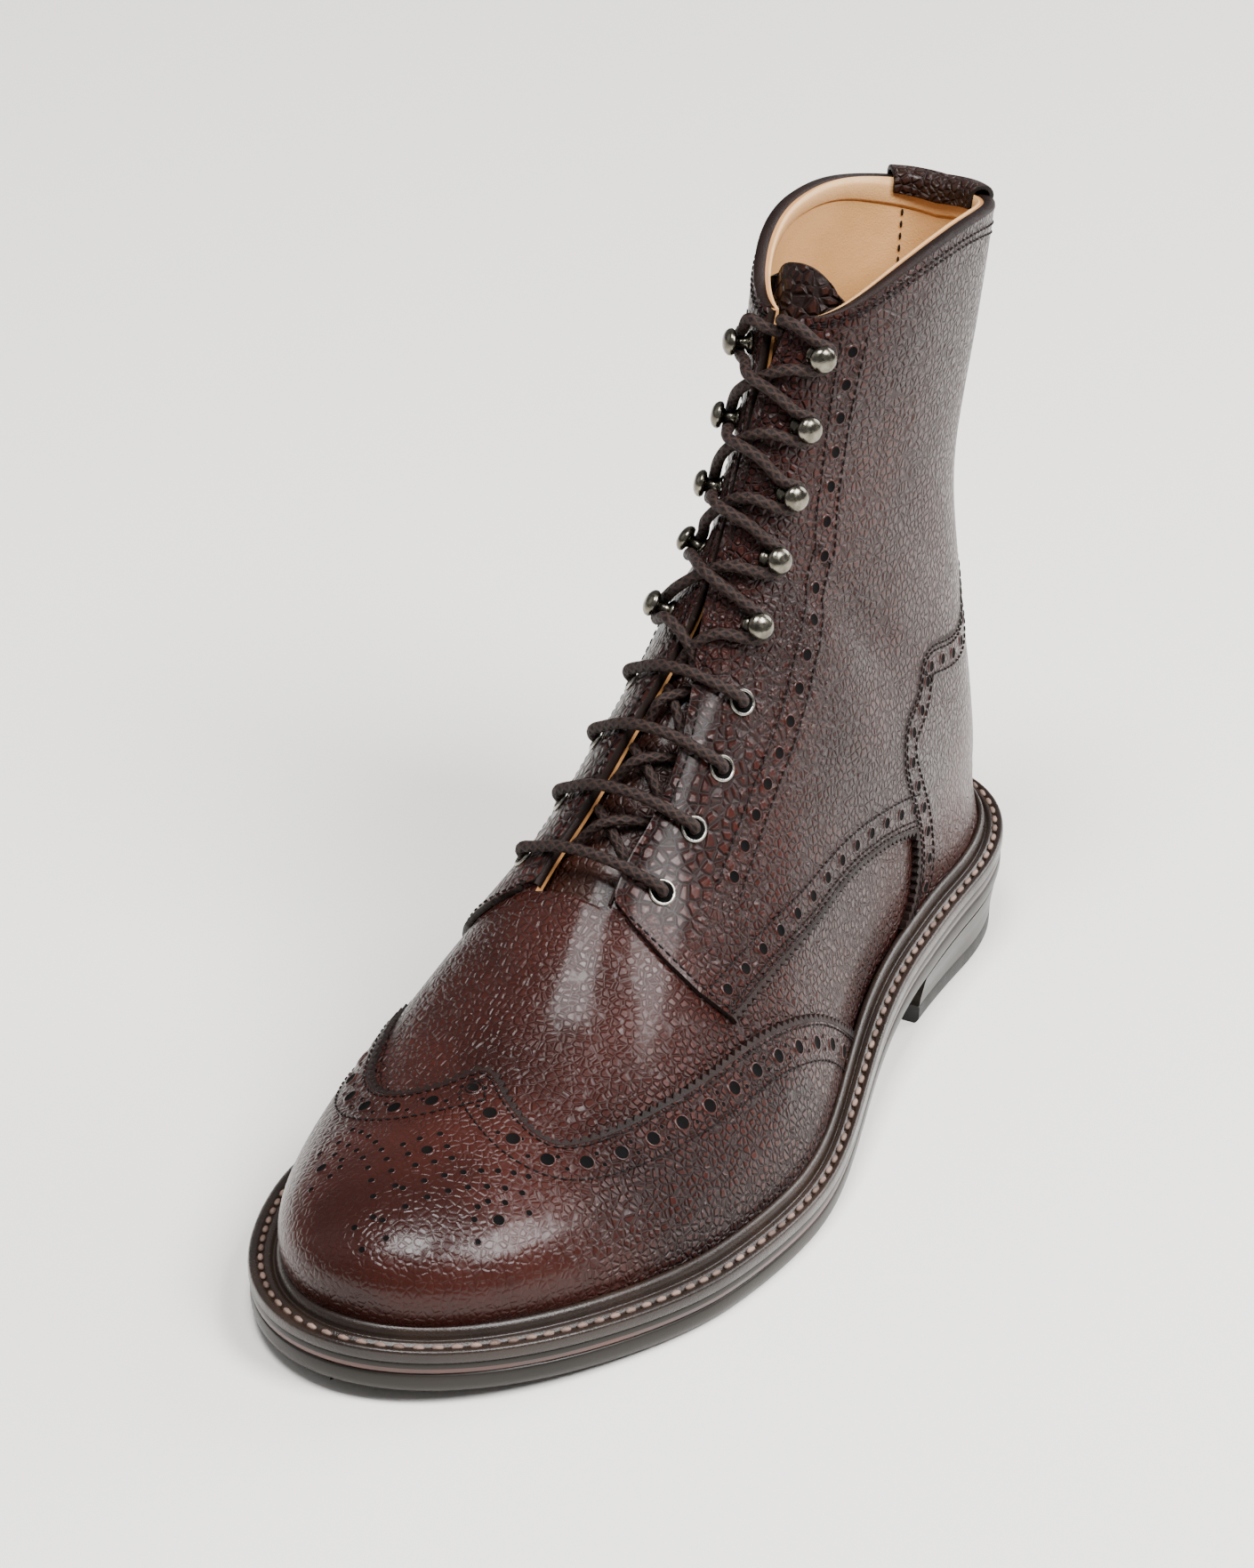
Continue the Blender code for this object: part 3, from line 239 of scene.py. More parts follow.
# Outlines of the turned pieces, from their axis or rim: radius and height.
HOLE_PROFILE = ((0.00132, -0.00012), (0.00118, 0.00006), (0.00100, 0.00010),
                (0.00088, 0.00004), (0.0, 0.00003))
WELL_PROFILE = ((0.0029, 0.00022), (0.0027, 0.00005), (0.0, 0.00002))
HOOK_PROFILE = ((0.0, 0.0001), (0.0031, 0.0001), (0.0031, 0.0005), (0.0022, 0.0009),
                (0.0015, 0.0014), (0.0014, 0.0034), (0.0020, 0.0040), (0.0031, 0.0043),
                (0.00355, 0.0049), (0.0034, 0.0057), (0.0028, 0.0064), (0.0019, 0.0069),
                (0.0009, 0.0071), (0.0, 0.00715))
EYELET_RADIUS = 0.00305
HOOK_NECK = 0.0015

# Cross-sections of the bottom: inset from the outline, None for its middle, and height, which
# is a share of the stack for the heel.
OUTSOLE_PROFILE = ((None, 0.0), (0.006, 0.0), (0.0020, 0.0), (0.0012, 0.0003),
                   (0.0007, 0.0010), (0.0004, 0.0022), (0.0004, 0.0047), (0.0006, 0.0050),
                   (0.0008, 0.00525), (None, 0.00525))
MIDSOLE_PROFILE = ((None, 0.0053), (0.0010, 0.0053), (0.0006, 0.0055), (0.0004, 0.0060),
                   (0.0003, 0.0069), (0.0003, 0.0081), (0.0006, 0.0086), (None, 0.0086))
HEEL_PROFILE = ((None, 0.0), (0.0030, 0.0), (0.0025, 0.03), (0.0023, 0.25), (0.0019, 0.5),
                (0.0014, 0.8), (0.0010, 1.0), (None, 1.0))
RUBBER_PROFILE = ((None, 0.0), (0.0036, 0.0), (0.0030, 0.0005), (0.0026, 0.0012),
                  (0.0025, 0.0046), (0.0028, 0.0050), (None, 0.0050))
INSOLE_PROFILE = ((None, 0.0), (0.0038, 0.0), (0.0036, 0.0020), (0.0040, 0.0044),
                  (0.0060, 0.0047), (None, 0.0044))

# Lamps: place, size of the square and power. The camera stands where the photograph was taken.
LIGHT_TABLE = (
    ("key", (1.30, -0.20, 1.70), 0.85, 76.0),
    ("top", (0.05, -0.70, 2.1), 0.7, 60.0),
    ("back", (1.0, 1.9, 1.2), 1.4, 56.0),
    ("fill", (-1.7, -1.0, 1.4), 1.5, 4.0),
)
LIGHT_AIM = (0.0, -0.10, 0.06)
SKY_COLOUR = (0.93, 0.93, 0.94, 1.0)
SKY_STRENGTH = 0.31
CAMERA_PLACE = (0.7021, -1.4199, 0.8937)
CAMERA_TURN, CAMERA_LIFT, CAMERA_ROLL = 28.67, 28.33, 0.43
CAMERA_LENS = 155.0


def spline(knots, values, at):
    """Natural cubic spline through the table values, read at the given places."""
    k = np.asarray(knots, float)
    v = np.asarray(values, float)
    n = len(k)
    h = np.diff(k)
    a = np.zeros((n, n))
    b = np.zeros(n)
    a[0, 0] = 1.0
    a[-1, -1] = 1.0
    for i in range(1, n - 1):
        a[i, i - 1] = h[i - 1]
        a[i, i] = 2.0 * (h[i - 1] + h[i])
        a[i, i + 1] = h[i]
        b[i] = 6.0 * ((v[i + 1] - v[i]) / h[i] - (v[i] - v[i - 1]) / h[i - 1])
    m = np.linalg.solve(a, b)
    x = np.clip(np.asarray(at, float), k[0], k[-1])
    i = np.clip(np.searchsorted(k, x, side="right") - 1, 0, n - 2)
    d = x - k[i]
    e = k[i + 1] - x
    w = h[i]
    return ((m[i] * e ** 3 + m[i + 1] * d ** 3) / (6.0 * w)
            + (v[i] / w - m[i] * w / 6.0) * e + (v[i + 1] / w - m[i + 1] * w / 6.0) * d)


def column(table, index):
    return [row[index] for row in table]


def curve(table, index, at):
    """One column of a table, read smoothly at places of its first column."""
    return spline(column(table, 0), column(table, index), at)


def rising(x, start, length):
    """Share from 0 to 1 as x climbs over a length from the start."""
    return np.clip((x - start) / length, 0.0, 1.0)


def falling(x, end, length):
    """Share from 1 to 0 as x comes within a length of the end."""
    return np.clip((end - x) / length, 0.0, 1.0)


def eased_share(t):
    """A share from 0 to 1 with a soft start and end."""
    return t * t * (3.0 - 2.0 * t)


def unit(x):
    return x / np.maximum(np.linalg.norm(x, axis=-1, keepdims=True), 1e-12)


def sole_rise(share):
    """Height of the outsole's underside: heel seat, arch, flat ball and toe spring."""
    s = np.asarray(share, float)
    seat = HEEL_RISE + HEEL_PITCH * (HEEL_BREAST_SHARE - s) / HEEL_BREAST_SHARE
    t = rising(s, HEEL_BREAST_SHARE, BALL_SHARE - HEEL_BREAST_SHARE)
    arch = HEEL_RISE * (1.0 - eased_share(t))
    toe = TOE_SPRING * rising(s, SPRING_SHARE, 1.0 - SPRING_SHARE) ** 1.8
    return np.where(s < HEEL_BREAST_SHARE, seat, arch) + toe


def share_of(y):
    return np.clip((HEEL_BACK - np.asarray(y, float)) / SOLE_LENGTH, 0.0, 1.0)


def round_end(share):
    """Rounding of the outline at the heel and the toe."""
    s = np.asarray(share, float)
    heel = falling(s, 0.16, 0.16)
    toe = rising(s, 0.74, 0.26)
    return (1.0 - heel ** 2.2) ** (1.0 / 2.1) * np.sqrt(np.clip(1.0 - toe ** 2.0, 0.0, 1.0))


def outline(share, inset_side, inset_heel, inset_toe):
    """Middle, half width and y of the sole's outline, moved inwards by the insets."""
    s = np.asarray(share, float)
    middle = curve(SOLE_TABLE, 1, s) * 0.001 * WIDE
    half = curve(SOLE_TABLE, 2, s) * 0.001 * WIDE
    side = inset_side + (inset_heel - inset_side) * np.clip(1.0 - s / 0.20, 0.0, 1.0)
    y = HEEL_BACK - inset_heel - s * (SOLE_LENGTH - inset_heel - inset_toe)
    return middle, (half - side) * round_end(s), y


def medial_more(share):
    """How far the feather line is drawn in on the medial side, as half of the margin there."""
    return 0.5 * WELT_MARGIN_MEDIAL * rising(share, 0.45, 0.25) * round_end(share)


def feather(y):
    """Middle and half width of the line where the upper meets the welt."""
    y = np.asarray(y, float)
    length = SOLE_LENGTH - WELT_MARGIN_HEEL - WELT_MARGIN_TOE
    s = np.clip((HEEL_BACK - WELT_MARGIN_HEEL - y) / length, 0.0, 1.0)
    middle, half, _ = outline(s, WELT_MARGIN, WELT_MARGIN_HEEL, WELT_MARGIN_TOE)
    more = medial_more(s)
    return middle + more, half - more


def welt_top(y):
    return sole_rise(share_of(y)) + OUTSOLE_THICK + MIDSOLE_THICK + WELT_THICK + 2.0 * GAP


def feather_z(y):
    return welt_top(y) + GAP


def row_places():
    """Places of the table rows along the upper, from the steps of its front and back."""
    step = [0.0]
    for a, b in zip(UPPER_TABLE[:-1], UPPER_TABLE[1:]):
        front = math.hypot(b[2] - a[2], b[3] - a[3])
        back = math.hypot(b[0] - a[0], b[1] - a[1])
        step.append(step[-1] + math.sqrt(front * back + 4.0))
    return np.array(step) / step[-1]


PLACES = row_places()


def spaced(count):
    """Shares of the length, closer together at both ends."""
    t = np.linspace(0.0, 1.0, count)
    return 0.5 - 0.5 * np.cos(math.pi * t)


def feather_ring(share, inwards):
    """Middle, half width and y of the feather line, moved inwards."""
    s = np.asarray(share, float)
    middle, half, y = outline(s, WELT_MARGIN + inwards, WELT_MARGIN_HEEL + inwards,
                              WELT_MARGIN_TOE + inwards)
    more = medial_more(s)
    return middle + more, half - more, y


def edge_ring(share, inset):
    return outline(share, inset, inset, inset)


# ---- The last: one dense net of the upper's surface, from which every leather piece is cut.

def sections(u, samples):
    """Lines of points from foot to ridge for the sections at the places u, both sides."""
    by, lift, fy, fz, rx, bulge, half, level, fp, lr, mr, bp = [
        spline(PLACES, column(UPPER_TABLE, i), u) for i in range(12)]
    by = by * 0.001 * LONG
    fy = fy * 0.001 * LONG
    fz = HEEL_RISE + (fz * 0.001 - 0.0135) * TALL
    arch = u <= PLACES[HEEL_ROW]
    lift = np.where(arch, 0.0, np.maximum(lift, 0.0)) * 0.001 * TALL
    heel_y = HEEL_BACK - WELT_MARGIN_HEEL
    by = np.where(arch, np.minimum(by, heel_y - 1e-7), by)
    middle, foot = feather(by)
    foot = np.where(arch, foot, 0.0)
    middle = np.where(arch, middle, SEAM_X)
    blend = rising(by, 0.004, 0.022)
    middle = middle + (SEAM_X - middle) * blend * arch
    loop = half * 0.001 * WIDE
    start = PLACES[HEEL_ROW - 4]
    fall = rising(u, start, PLACES[HEEL_ROW] - start)
    side = foot + bulge * 0.001
    wide = np.where(arch, np.maximum(side, side + (loop - side) * fall), loop)
    bz = np.where(arch, feather_z(by), feather_z(heel_y) + lift)
    ridge = rx * 0.001 * WIDE
    psi = 2.0 / math.pi * np.arcsin(np.clip(foot / wide, 0.0, 0.985) ** (bp / 2.0))
    cover = np.linspace(0.0, 1.0, samples)
    angle = (psi[:, None] + (1.0 - psi[:, None]) * cover[None, :]) * math.pi / 2.0
    down = 1.0 - np.cos(angle) ** (2.0 / bp[:, None])
    first = down[:, :1]
    q_back = level[:, None] * (down - first) / np.maximum(1.0 - first, 1e-6)
    w_back = wide[:, None] * np.sin(angle) ** (2.0 / bp[:, None])
    w_back[:, 0] = foot
    angle = cover[None, 1:] * math.pi / 2.0
    q_front = level[:, None] + (1.0 - level[:, None]) * np.sin(angle) ** (2.0 / fp[:, None])
    q = np.concatenate([q_back, q_front], axis=1)
    centre = middle[:, None] + (ridge - middle)[:, None] * eased_share(q)
    y = by[:, None] + (fy - by)[:, None] * q
    z = bz[:, None] + (fz - bz)[:, None] * q
    out = {}
    for sign, power in ((1, lr), (-1, mr)):
        w_front = wide[:, None] * np.clip(np.cos(angle), 0.0, 1.0) ** (2.0 / power[:, None])
        w_front[:, -1] = 0.0
        x = centre + sign * np.concatenate([w_back, w_front], axis=1)
        p = np.stack([x, y, z], axis=2)
        d = np.sqrt((np.diff(p, axis=1) ** 2).sum(axis=2))
        out[sign] = p, np.concatenate([np.zeros((len(u), 1)), np.cumsum(d, axis=1)], axis=1)
    return out


def outward(points):
    """Unit directions out of the shoe over a net of points."""
    n = np.cross(np.gradient(points, axis=1), np.gradient(points, axis=0))
    n[0] = n[2]
    n = unit(n)
    for j in (0, -1):
        n[LAST_U > PLACES[HEEL_ROW], j, 0] = 0.0
    return unit(n)


def creases(u, v):
    """Height of the soft troughs and ridges at places of the surface."""
    out = np.zeros_like(u)
    for along, across, length, width, turn, depth in CREASE_TABLE:
        a = (u - along) * 300.0
        b = (v - across) * 110.0
        c = math.cos(math.radians(turn))
        s = math.sin(math.radians(turn))
        far = b * c + a * s
        off = a * c - b * s
        out += depth * 0.001 * np.exp(-(far / length * 2.0) ** 2 - (off / width * 1.6) ** 2)
    return out


def eased(points, reach):
    """The net drawn smooth along the foot, over a reach of so many rows."""
    out = points
    for _ in range(3):
        wide = np.concatenate([out[:1].repeat(reach + 1, 0), out, out[-1:].repeat(reach, 0)])
        total = np.cumsum(wide, axis=0)
        out = (total[2 * reach + 1:] - total[:-2 * reach - 1]) / (2.0 * reach + 1.0)
    return out


def make_last():
    """Net of the surface, its outward directions and the half lengths of its sections."""
    global LAST_U, LAST_V, LAST_P, LAST_N, REACH
    u = np.linspace(0.0, 1.0, 901)
    LAST_V = np.linspace(-1.0, 1.0, 601)
    points = np.zeros((len(u), len(LAST_V), 3))
    REACH = {}
    for sign, (p, run) in sections(u, 129).items():
        pick = np.nonzero(LAST_V * sign >= 0.0)[0]
        REACH[sign] = run[:, -1]
        for i in range(len(u)):
            want = run[i, -1] * (1.0 - np.abs(LAST_V[pick]))
            for axis in range(3):
                points[i, pick, axis] = np.interp(want, run[i], p[i, :, axis])
    tip_y = HEEL_BACK - SOLE_LENGTH + WELT_MARGIN_TOE
    tip = np.array([UPPER_TABLE[0][4] * 0.001 * WIDE, tip_y, float(feather_z(tip_y))])
    ahead = np.linspace(0.0, 1.0, 11)[:-1]
    front = tip + (points[0] - tip)[None] * ahead[:, None, None]
    LAST_U = np.concatenate([0.012 * (ahead - 1.0), u])
    LAST_P = np.concatenate([front, points])
    LAST_N = outward(LAST_P)
    uu, vv = np.meshgrid(LAST_U, LAST_V, indexing="ij")
    heel = rising(uu, 0.54, 0.07) * falling(uu, 0.88, 0.07)
    heel = heel * rising(np.abs(vv), 0.30, 0.25)
    heel = heel * falling(np.abs(vv), 0.96, 0.14)
    heel = eased_share(heel)[..., None]
    LAST_P = LAST_P + heel * (eased(LAST_P, 34) - LAST_P)
    LAST_N = outward(LAST_P)
    LAST_P = LAST_P + LAST_N * creases(uu, vv)[..., None]
    LAST_N = outward(LAST_P)
    REACH = {s: np.concatenate([np.full(10, r[0]), r]) for s, r in REACH.items()}


def skin(u, v, lift=0.0):
    """Points at a height over the surface, and the outward directions there."""
    u, v, lift = np.broadcast_arrays(np.asarray(u, float), np.asarray(v, float),
                                     np.asarray(lift, float))
    i = np.clip(np.searchsorted(LAST_U, u, side="right") - 1, 0, len(LAST_U) - 2)
    a = np.clip((u - LAST_U[i]) / (LAST_U[i + 1] - LAST_U[i]), 0.0, 1.0)[..., None]
    step = (np.clip(v, -1.0, 1.0) + 1.0) * 0.5 * (len(LAST_V) - 1)
    j = np.clip(step.astype(int), 0, len(LAST_V) - 2)
    b = (step - j)[..., None]
    both = []
    for net in (LAST_P, LAST_N):
        low = net[i, j] * (1.0 - b) + net[i, j + 1] * b
        high = net[i + 1, j] * (1.0 - b) + net[i + 1, j + 1] * b
        both.append(low * (1.0 - a) + high * a)
    normal = unit(both[1])
    return both[0] + normal * lift[..., None], normal


def reach(u):
    return 0.5 * (np.interp(u, LAST_U, REACH[1]) + np.interp(u, LAST_U, REACH[-1]))


def throat_edges(u):
    """Places across of the lateral and the medial edge of the throat."""
    u = np.asarray(u, float)
    z = np.clip(spline(PLACES, column(UPPER_TABLE, 3), u), 60.0, 215.0)
    middle = curve(THROAT_TABLE, 1, z) * 0.001
    half = curve(THROAT_TABLE, 2, z) * 0.001
    half = np.minimum(half, 0.3 * reach(u))
    return (middle + half) / reach(u), (middle - half) / reach(u)


def place_of_ridge(z):
    u = np.linspace(PLACES[4], 1.0, 400)
    return float(np.interp(z, spline(PLACES, column(UPPER_TABLE, 3), u), u))


def make_collar():
    """Place along the foot of the collar line, for every place across."""
    global COLLAR
    want = curve(COLLAR_TABLE, 1, np.abs(LAST_V)) * 0.001
    want = HEEL_RISE + (want - 0.0135) * TALL
    top = LAST_U > PLACES[18]
    COLLAR = np.array([np.interp(want[j], LAST_P[top, j, 2], LAST_U[top])
                       for j in range(len(LAST_V))])


def collar(v):
    return np.interp(v, LAST_V, COLLAR)


def to_collar(u, v):
    """Places on the shaft, drawn in so that 1 is the collar line."""
    share = rising(u, SHAFT_START, 1.0 - SHAFT_START)
    return np.where(u > SHAFT_START, SHAFT_START + share * (collar(v) - SHAFT_START), u)


make_last()
make_collar()
THROAT_FOOT = place_of_ridge(THROAT_FOOT_Z)
SHAFT_START = float(PLACES[16])


# ---- Lines over the surface.

def run_of(p):
    """Length along a line of points, from its start."""
    d = np.linalg.norm(np.diff(p, axis=0), axis=1)
    return np.concatenate([[0.0], np.cumsum(d)])


def soft_line(u, v, count=500):
    """A smooth line through the places of a table."""
    run = run_of(skin(np.array(u, float), np.array(v, float))[0])
    at = np.linspace(0.0, run[-1], count)
    return spline(run, u, at), np.clip(spline(run, v, at), -1.0, 1.0)


def beside(line, distance, steps=3):
    """The line moved sideways over the surface, to the left of its own direction."""
    u, v = (np.array(x, float) for x in line)
    for _ in range(steps):
        e = 0.003
        p, n = skin(u, v)
        low = np.clip(v - e, -1.0, 1.0)
        high = np.clip(v + e, -1.0, 1.0)
        pu = (skin(u + e, v)[0] - skin(u - e, v)[0]) / (2.0 * e)
        pv = (skin(u, high)[0] - skin(u, low)[0]) / (high - low)[:, None]
        side = unit(np.cross(n, np.gradient(p, axis=0)))
        a = (pu * pu).sum(1)
        b = (pu * pv).sum(1)
        c = (pv * pv).sum(1)
        r = (side * pu).sum(1)
        s = (side * pv).sum(1)
        det = np.maximum(a * c - b * b, 1e-12)
        u = u + (c * r - b * s) / det * distance / steps
        v = np.clip(v + (a * s - b * r) / det * distance / steps, -1.0, 1.0)
    return u, v


def row_beside(line, distance):
    """The same, without the loops that a sharp turn of the line would leave."""
    u, v = beside(line, distance)
    was = np.gradient(skin(*line)[0], axis=0)
    now = np.gradient(skin(u, v)[0], axis=0)
    keep = (was * now).sum(1) > 0.2 * (was * was).sum(1)
    return u[keep], v[keep]


def even(line, pitch, start=0.5):
    """Places at an even pitch along a line."""
    u, v = line
    run = run_of(skin(u, v)[0])
    count = max(int(run[-1] / pitch), 2)
    at = (np.arange(count) + start) * run[-1] / count
    return np.interp(at, run, u), np.interp(at, run, v)


def frames_on(line, lift):
    """Place, direction along, direction across and direction out, along a line."""
    u, v = line
    p, n = skin(u, v, lift)
    along = np.gradient(p, axis=0)
    along = unit(along - n * (along * n).sum(1, keepdims=True))
    return p, along, np.cross(n, along), n


def frames_towards(p, n, direction):
    """The same at single places, all turned alike against one direction."""
    along = unit(np.cross(n, np.array(direction)))
    return p, along, np.cross(n, along), n


def joined(*frames):
    return [np.concatenate([f[k] for f in frames]) for k in range(4)]


# ---- Makers of pieces.

def piece(name, work, materials, nodes=(), sharp=None):
    """An object from a mesh in the making, on the body, with its finishes."""
    mesh = bpy.data.meshes.new(name)
    work.to_mesh(mesh)
    work.free()
    for material in materials:
        mesh.materials.append(material)
    mesh.shade_smooth()
    if sharp:
        mesh.set_sharp_from_angle(angle=math.radians(sharp))
    thing = bpy.data.objects.new(name, mesh)
    bpy.context.scene.collection.objects.link(thing)
    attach(thing, "root")
    if nodes:
        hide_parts(*nodes)
    return thing


def laid(points, normals=None, marks=None, uv=None, skip=None):
    """A grid laid on rows and columns of points, its faces turned outwards."""
    rows, columns = points.shape[:2]
    work = bmesh.new()
    bmesh.ops.create_grid(work, x_segments=columns - 1, y_segments=rows - 1, size=1.0)
    layers = {key: work.verts.layers.float.new(key) for key in (marks or {})}
    where = {}
    for vert in work.verts:
        i = int(round((vert.co.y + 1.0) * 0.5 * (rows - 1)))
        j = int(round((vert.co.x + 1.0) * 0.5 * (columns - 1)))
        where[vert] = i, j
        vert.co = points[i, j]
        for key, layer in layers.items():
            vert[layer] = float(marks[key][i, j])
    if uv is not None:
        layer = work.loops.layers.uv.new("lay")
        for face in work.faces:
            for loop in face.loops:
                loop[layer].uv = uv[where[loop.vert]]
    if skip:
        gone = [f for f in work.faces
                if skip(min(where[v][0] for v in f.verts), min(where[v][1] for v in f.verts))]
        bmesh.ops.delete(work, geom=gone, context="FACES")
    work.normal_update()
    if normals is not None:
        turn = sum(float(v.normal.dot(Vector(normals[where[v]]))) for v in work.verts)
        if turn < 0.0:
            bmesh.ops.reverse_faces(work, faces=work.faces)
    bmesh.ops.remove_doubles(work, verts=work.verts, dist=0.000004)
    bmesh.ops.dissolve_degenerate(work, edges=work.edges, dist=0.000001)
    if normals is None:
        ends = [e for e in work.edges if e.is_boundary]
        if ends:
            bmesh.ops.holes_fill(work, edges=ends, sides=0)
        bmesh.ops.recalc_face_normals(work, faces=work.faces)
        if work.calc_volume(signed=True) < 0.0:
            bmesh.ops.reverse_faces(work, faces=work.faces)
    return work


def thick(thing, depth, inner=0, rim=1, bevel=0.00022):
    """Gives a sheet its thickness inwards, and softens its cut edges."""
    wall = thing.modifiers.new("wall", "SOLIDIFY")
    wall.thickness = depth
    wall.offset = -1.0
    wall.material_offset = inner
    wall.material_offset_rim = rim
    if bevel:
        soft = thing.modifiers.new("soft", "BEVEL")
        soft.width = bevel
        soft.segments = 2
        soft.limit_method = "ANGLE"
        soft.angle_limit = math.radians(55.0)
    return thing


def turned(profile, steps):
    """A small shape turned about its own upright axis."""
    work = bmesh.new()
    verts = [work.verts.new((r, 0.0, z)) for r, z in profile]
    edges = [work.edges.new(pair) for pair in zip(verts[:-1], verts[1:])]
    bmesh.ops.spin(work, geom=verts + edges, cent=(0.0, 0.0, 0.0), axis=(0.0, 0.0, 1.0),
                   angle=2.0 * math.pi, steps=steps, use_merge=True)
    bmesh.ops.remove_doubles(work, verts=work.verts, dist=0.000002)
    bmesh.ops.recalc_face_normals(work, faces=work.faces)
    work.normal_update()
    lean = sum(f.normal.z * f.calc_area() * max(f.calc_center_median().z, 0.0) for f in work.faces)
    if lean < 0.0:
        bmesh.ops.reverse_faces(work, faces=work.faces)
    return work


def scatter(name, template, frames, materials, nodes=(), sizes=None, sharp=None):
    """Copies of one small shape, joined, each on its own frame."""
    template.verts.index_update()
    base = np.array([v.co for v in template.verts])
    faces = [[v.index for v in f.verts] for f in template.faces]
    slots = [f.material_index for f in template.faces]
    p, a, b, n = frames
    scale = np.ones(len(p)) if sizes is None else np.asarray(sizes, float)
    spread = (base[None, :, 0, None] * a[:, None, :] + base[None, :, 1, None] * b[:, None, :]
              + base[None, :, 2, None] * n[:, None, :])
    points = p[:, None, :] + spread * scale[:, None, None]
    all_faces = [[k * len(base) + i for i in f] for k in range(len(p)) for f in faces]
    mesh = bpy.data.meshes.new(name)
    mesh.from_pydata(points.reshape(-1, 3).tolist(), [], all_faces)
    mesh.polygons.foreach_set("material_index", slots * len(p))
    work = bmesh.new()
    work.from_mesh(mesh)
    template.free()
    bpy.data.meshes.remove(mesh)
    return piece(name, work, materials, nodes, sharp)


def stitch_shape(length, width, height):
    """One stitch: a small bead, long in the seam's direction."""
    work = bmesh.new()
    bmesh.ops.create_uvsphere(work, u_segments=6, v_segments=4, radius=1.0)
    bmesh.ops.rotate(work, verts=work.verts, matrix=Matrix.Rotation(math.pi / 2.0, 3, "Y"))
    bmesh.ops.scale(work, verts=work.verts, vec=(0.5 * length, 0.5 * width, 0.5 * height))
    return work


def hole_shape():
    """A punched hole of radius one millimetre: a raised lip and a near-black floor of painted shade
    for the inside of the hole.
    """
    work = turned(HOLE_PROFILE, 12)
    # Faces inside the lip take the second finish, the painted shade of the hole's floor.
    for face in work.faces:
        c = face.calc_center_median()
        face.material_index = 1 if math.hypot(c.x, c.y) < 0.00096 else 0
    return work


# ---- Finishes.

def nodes_of(name, colour, rough, metal=0.0, specular=0.5, coat=0.0, coat_rough=0.2):
    material = bpy.data.materials.new(name)
    material.use_nodes = True
    tree = material.node_tree
    shader = tree.nodes["Principled BSDF"]
    shader.inputs["Base Color"].default_value = colour + (1.0,)
    shader.inputs["Roughness"].default_value = rough
    shader.inputs["Metallic"].default_value = metal
    shader.inputs["Specular IOR Level"].default_value = specular
    shader.inputs["Coat Weight"].default_value = coat
    shader.inputs["Coat Roughness"].default_value = coat_rough
    return material, tree, shader


def node(tree, kind, values=None, **settings):
    made = tree.nodes.new(kind)
    for key, value in settings.items():
        setattr(made, key, value)
    for key, value in (values or {}).items():
        made.inputs[key].default_value = value
    return made


def link(tree, a, out, b, into):
    tree.links.new(a.outputs[out], b.inputs[into])


def noise(tree, scale, detail=3.0, rough=0.55, vector=None):
    made = node(tree, "ShaderNodeTexNoise", {"Scale": scale, "Detail": detail,
                                             "Roughness": rough})
    link(tree, *(vector or (node(tree, "ShaderNodeTexCoord"), "Object")), made, "Vector")
    return made


def maths(tree, operation, a, b=None):
    made = node(tree, "ShaderNodeMath", operation=operation)
    for slot, value in enumerate((a, b)):
        if value is None:
            continue
        if isinstance(value, (int, float)):
            made.inputs[slot].default_value = value
        else:
            tree.links.new(value, made.inputs[slot])
    return made.outputs[0]


def ramp(tree, value, low, high, out_low=0.0, out_high=1.0):
    made = node(tree, "ShaderNodeMapRange", {"From Min": low, "From Max": high, "To Min": out_low,
                                             "To Max": out_high},
                interpolation_type="SMOOTHSTEP")
    tree.links.new(value, made.inputs["Value"])
    return made.outputs["Result"]


def mixed(tree, share, a, b):
    made = node(tree, "ShaderNodeMixRGB")
    tree.links.new(share, made.inputs["Fac"])
    for key, value in (("Color1", a), ("Color2", b)):
        if isinstance(value, tuple):
            made.inputs[key].default_value = value + (1.0,)
        else:
            tree.links.new(value, made.inputs[key])
    return made.outputs["Color"]


def bumped(tree, shader, height, distance):
    bump = node(tree, "ShaderNodeBump", {"Distance": distance, "Strength": 1.0})
    tree.links.new(height, bump.inputs["Height"])
    link(tree, bump, "Normal", shader, "Normal")


def pebble_cells(tree, where, cell):
    """Rounded pebbles with grooves between them, from 0 in a groove to 1 on top."""
    cells = node(tree, "ShaderNodeTexVoronoi", {"Scale": 1.0 / cell, "Randomness": 0.9},
                 feature="DISTANCE_TO_EDGE")
    tree.links.new(where, cells.inputs["Vector"])
    return ramp(tree, cells.outputs["Distance"], 0.0, 0.27)


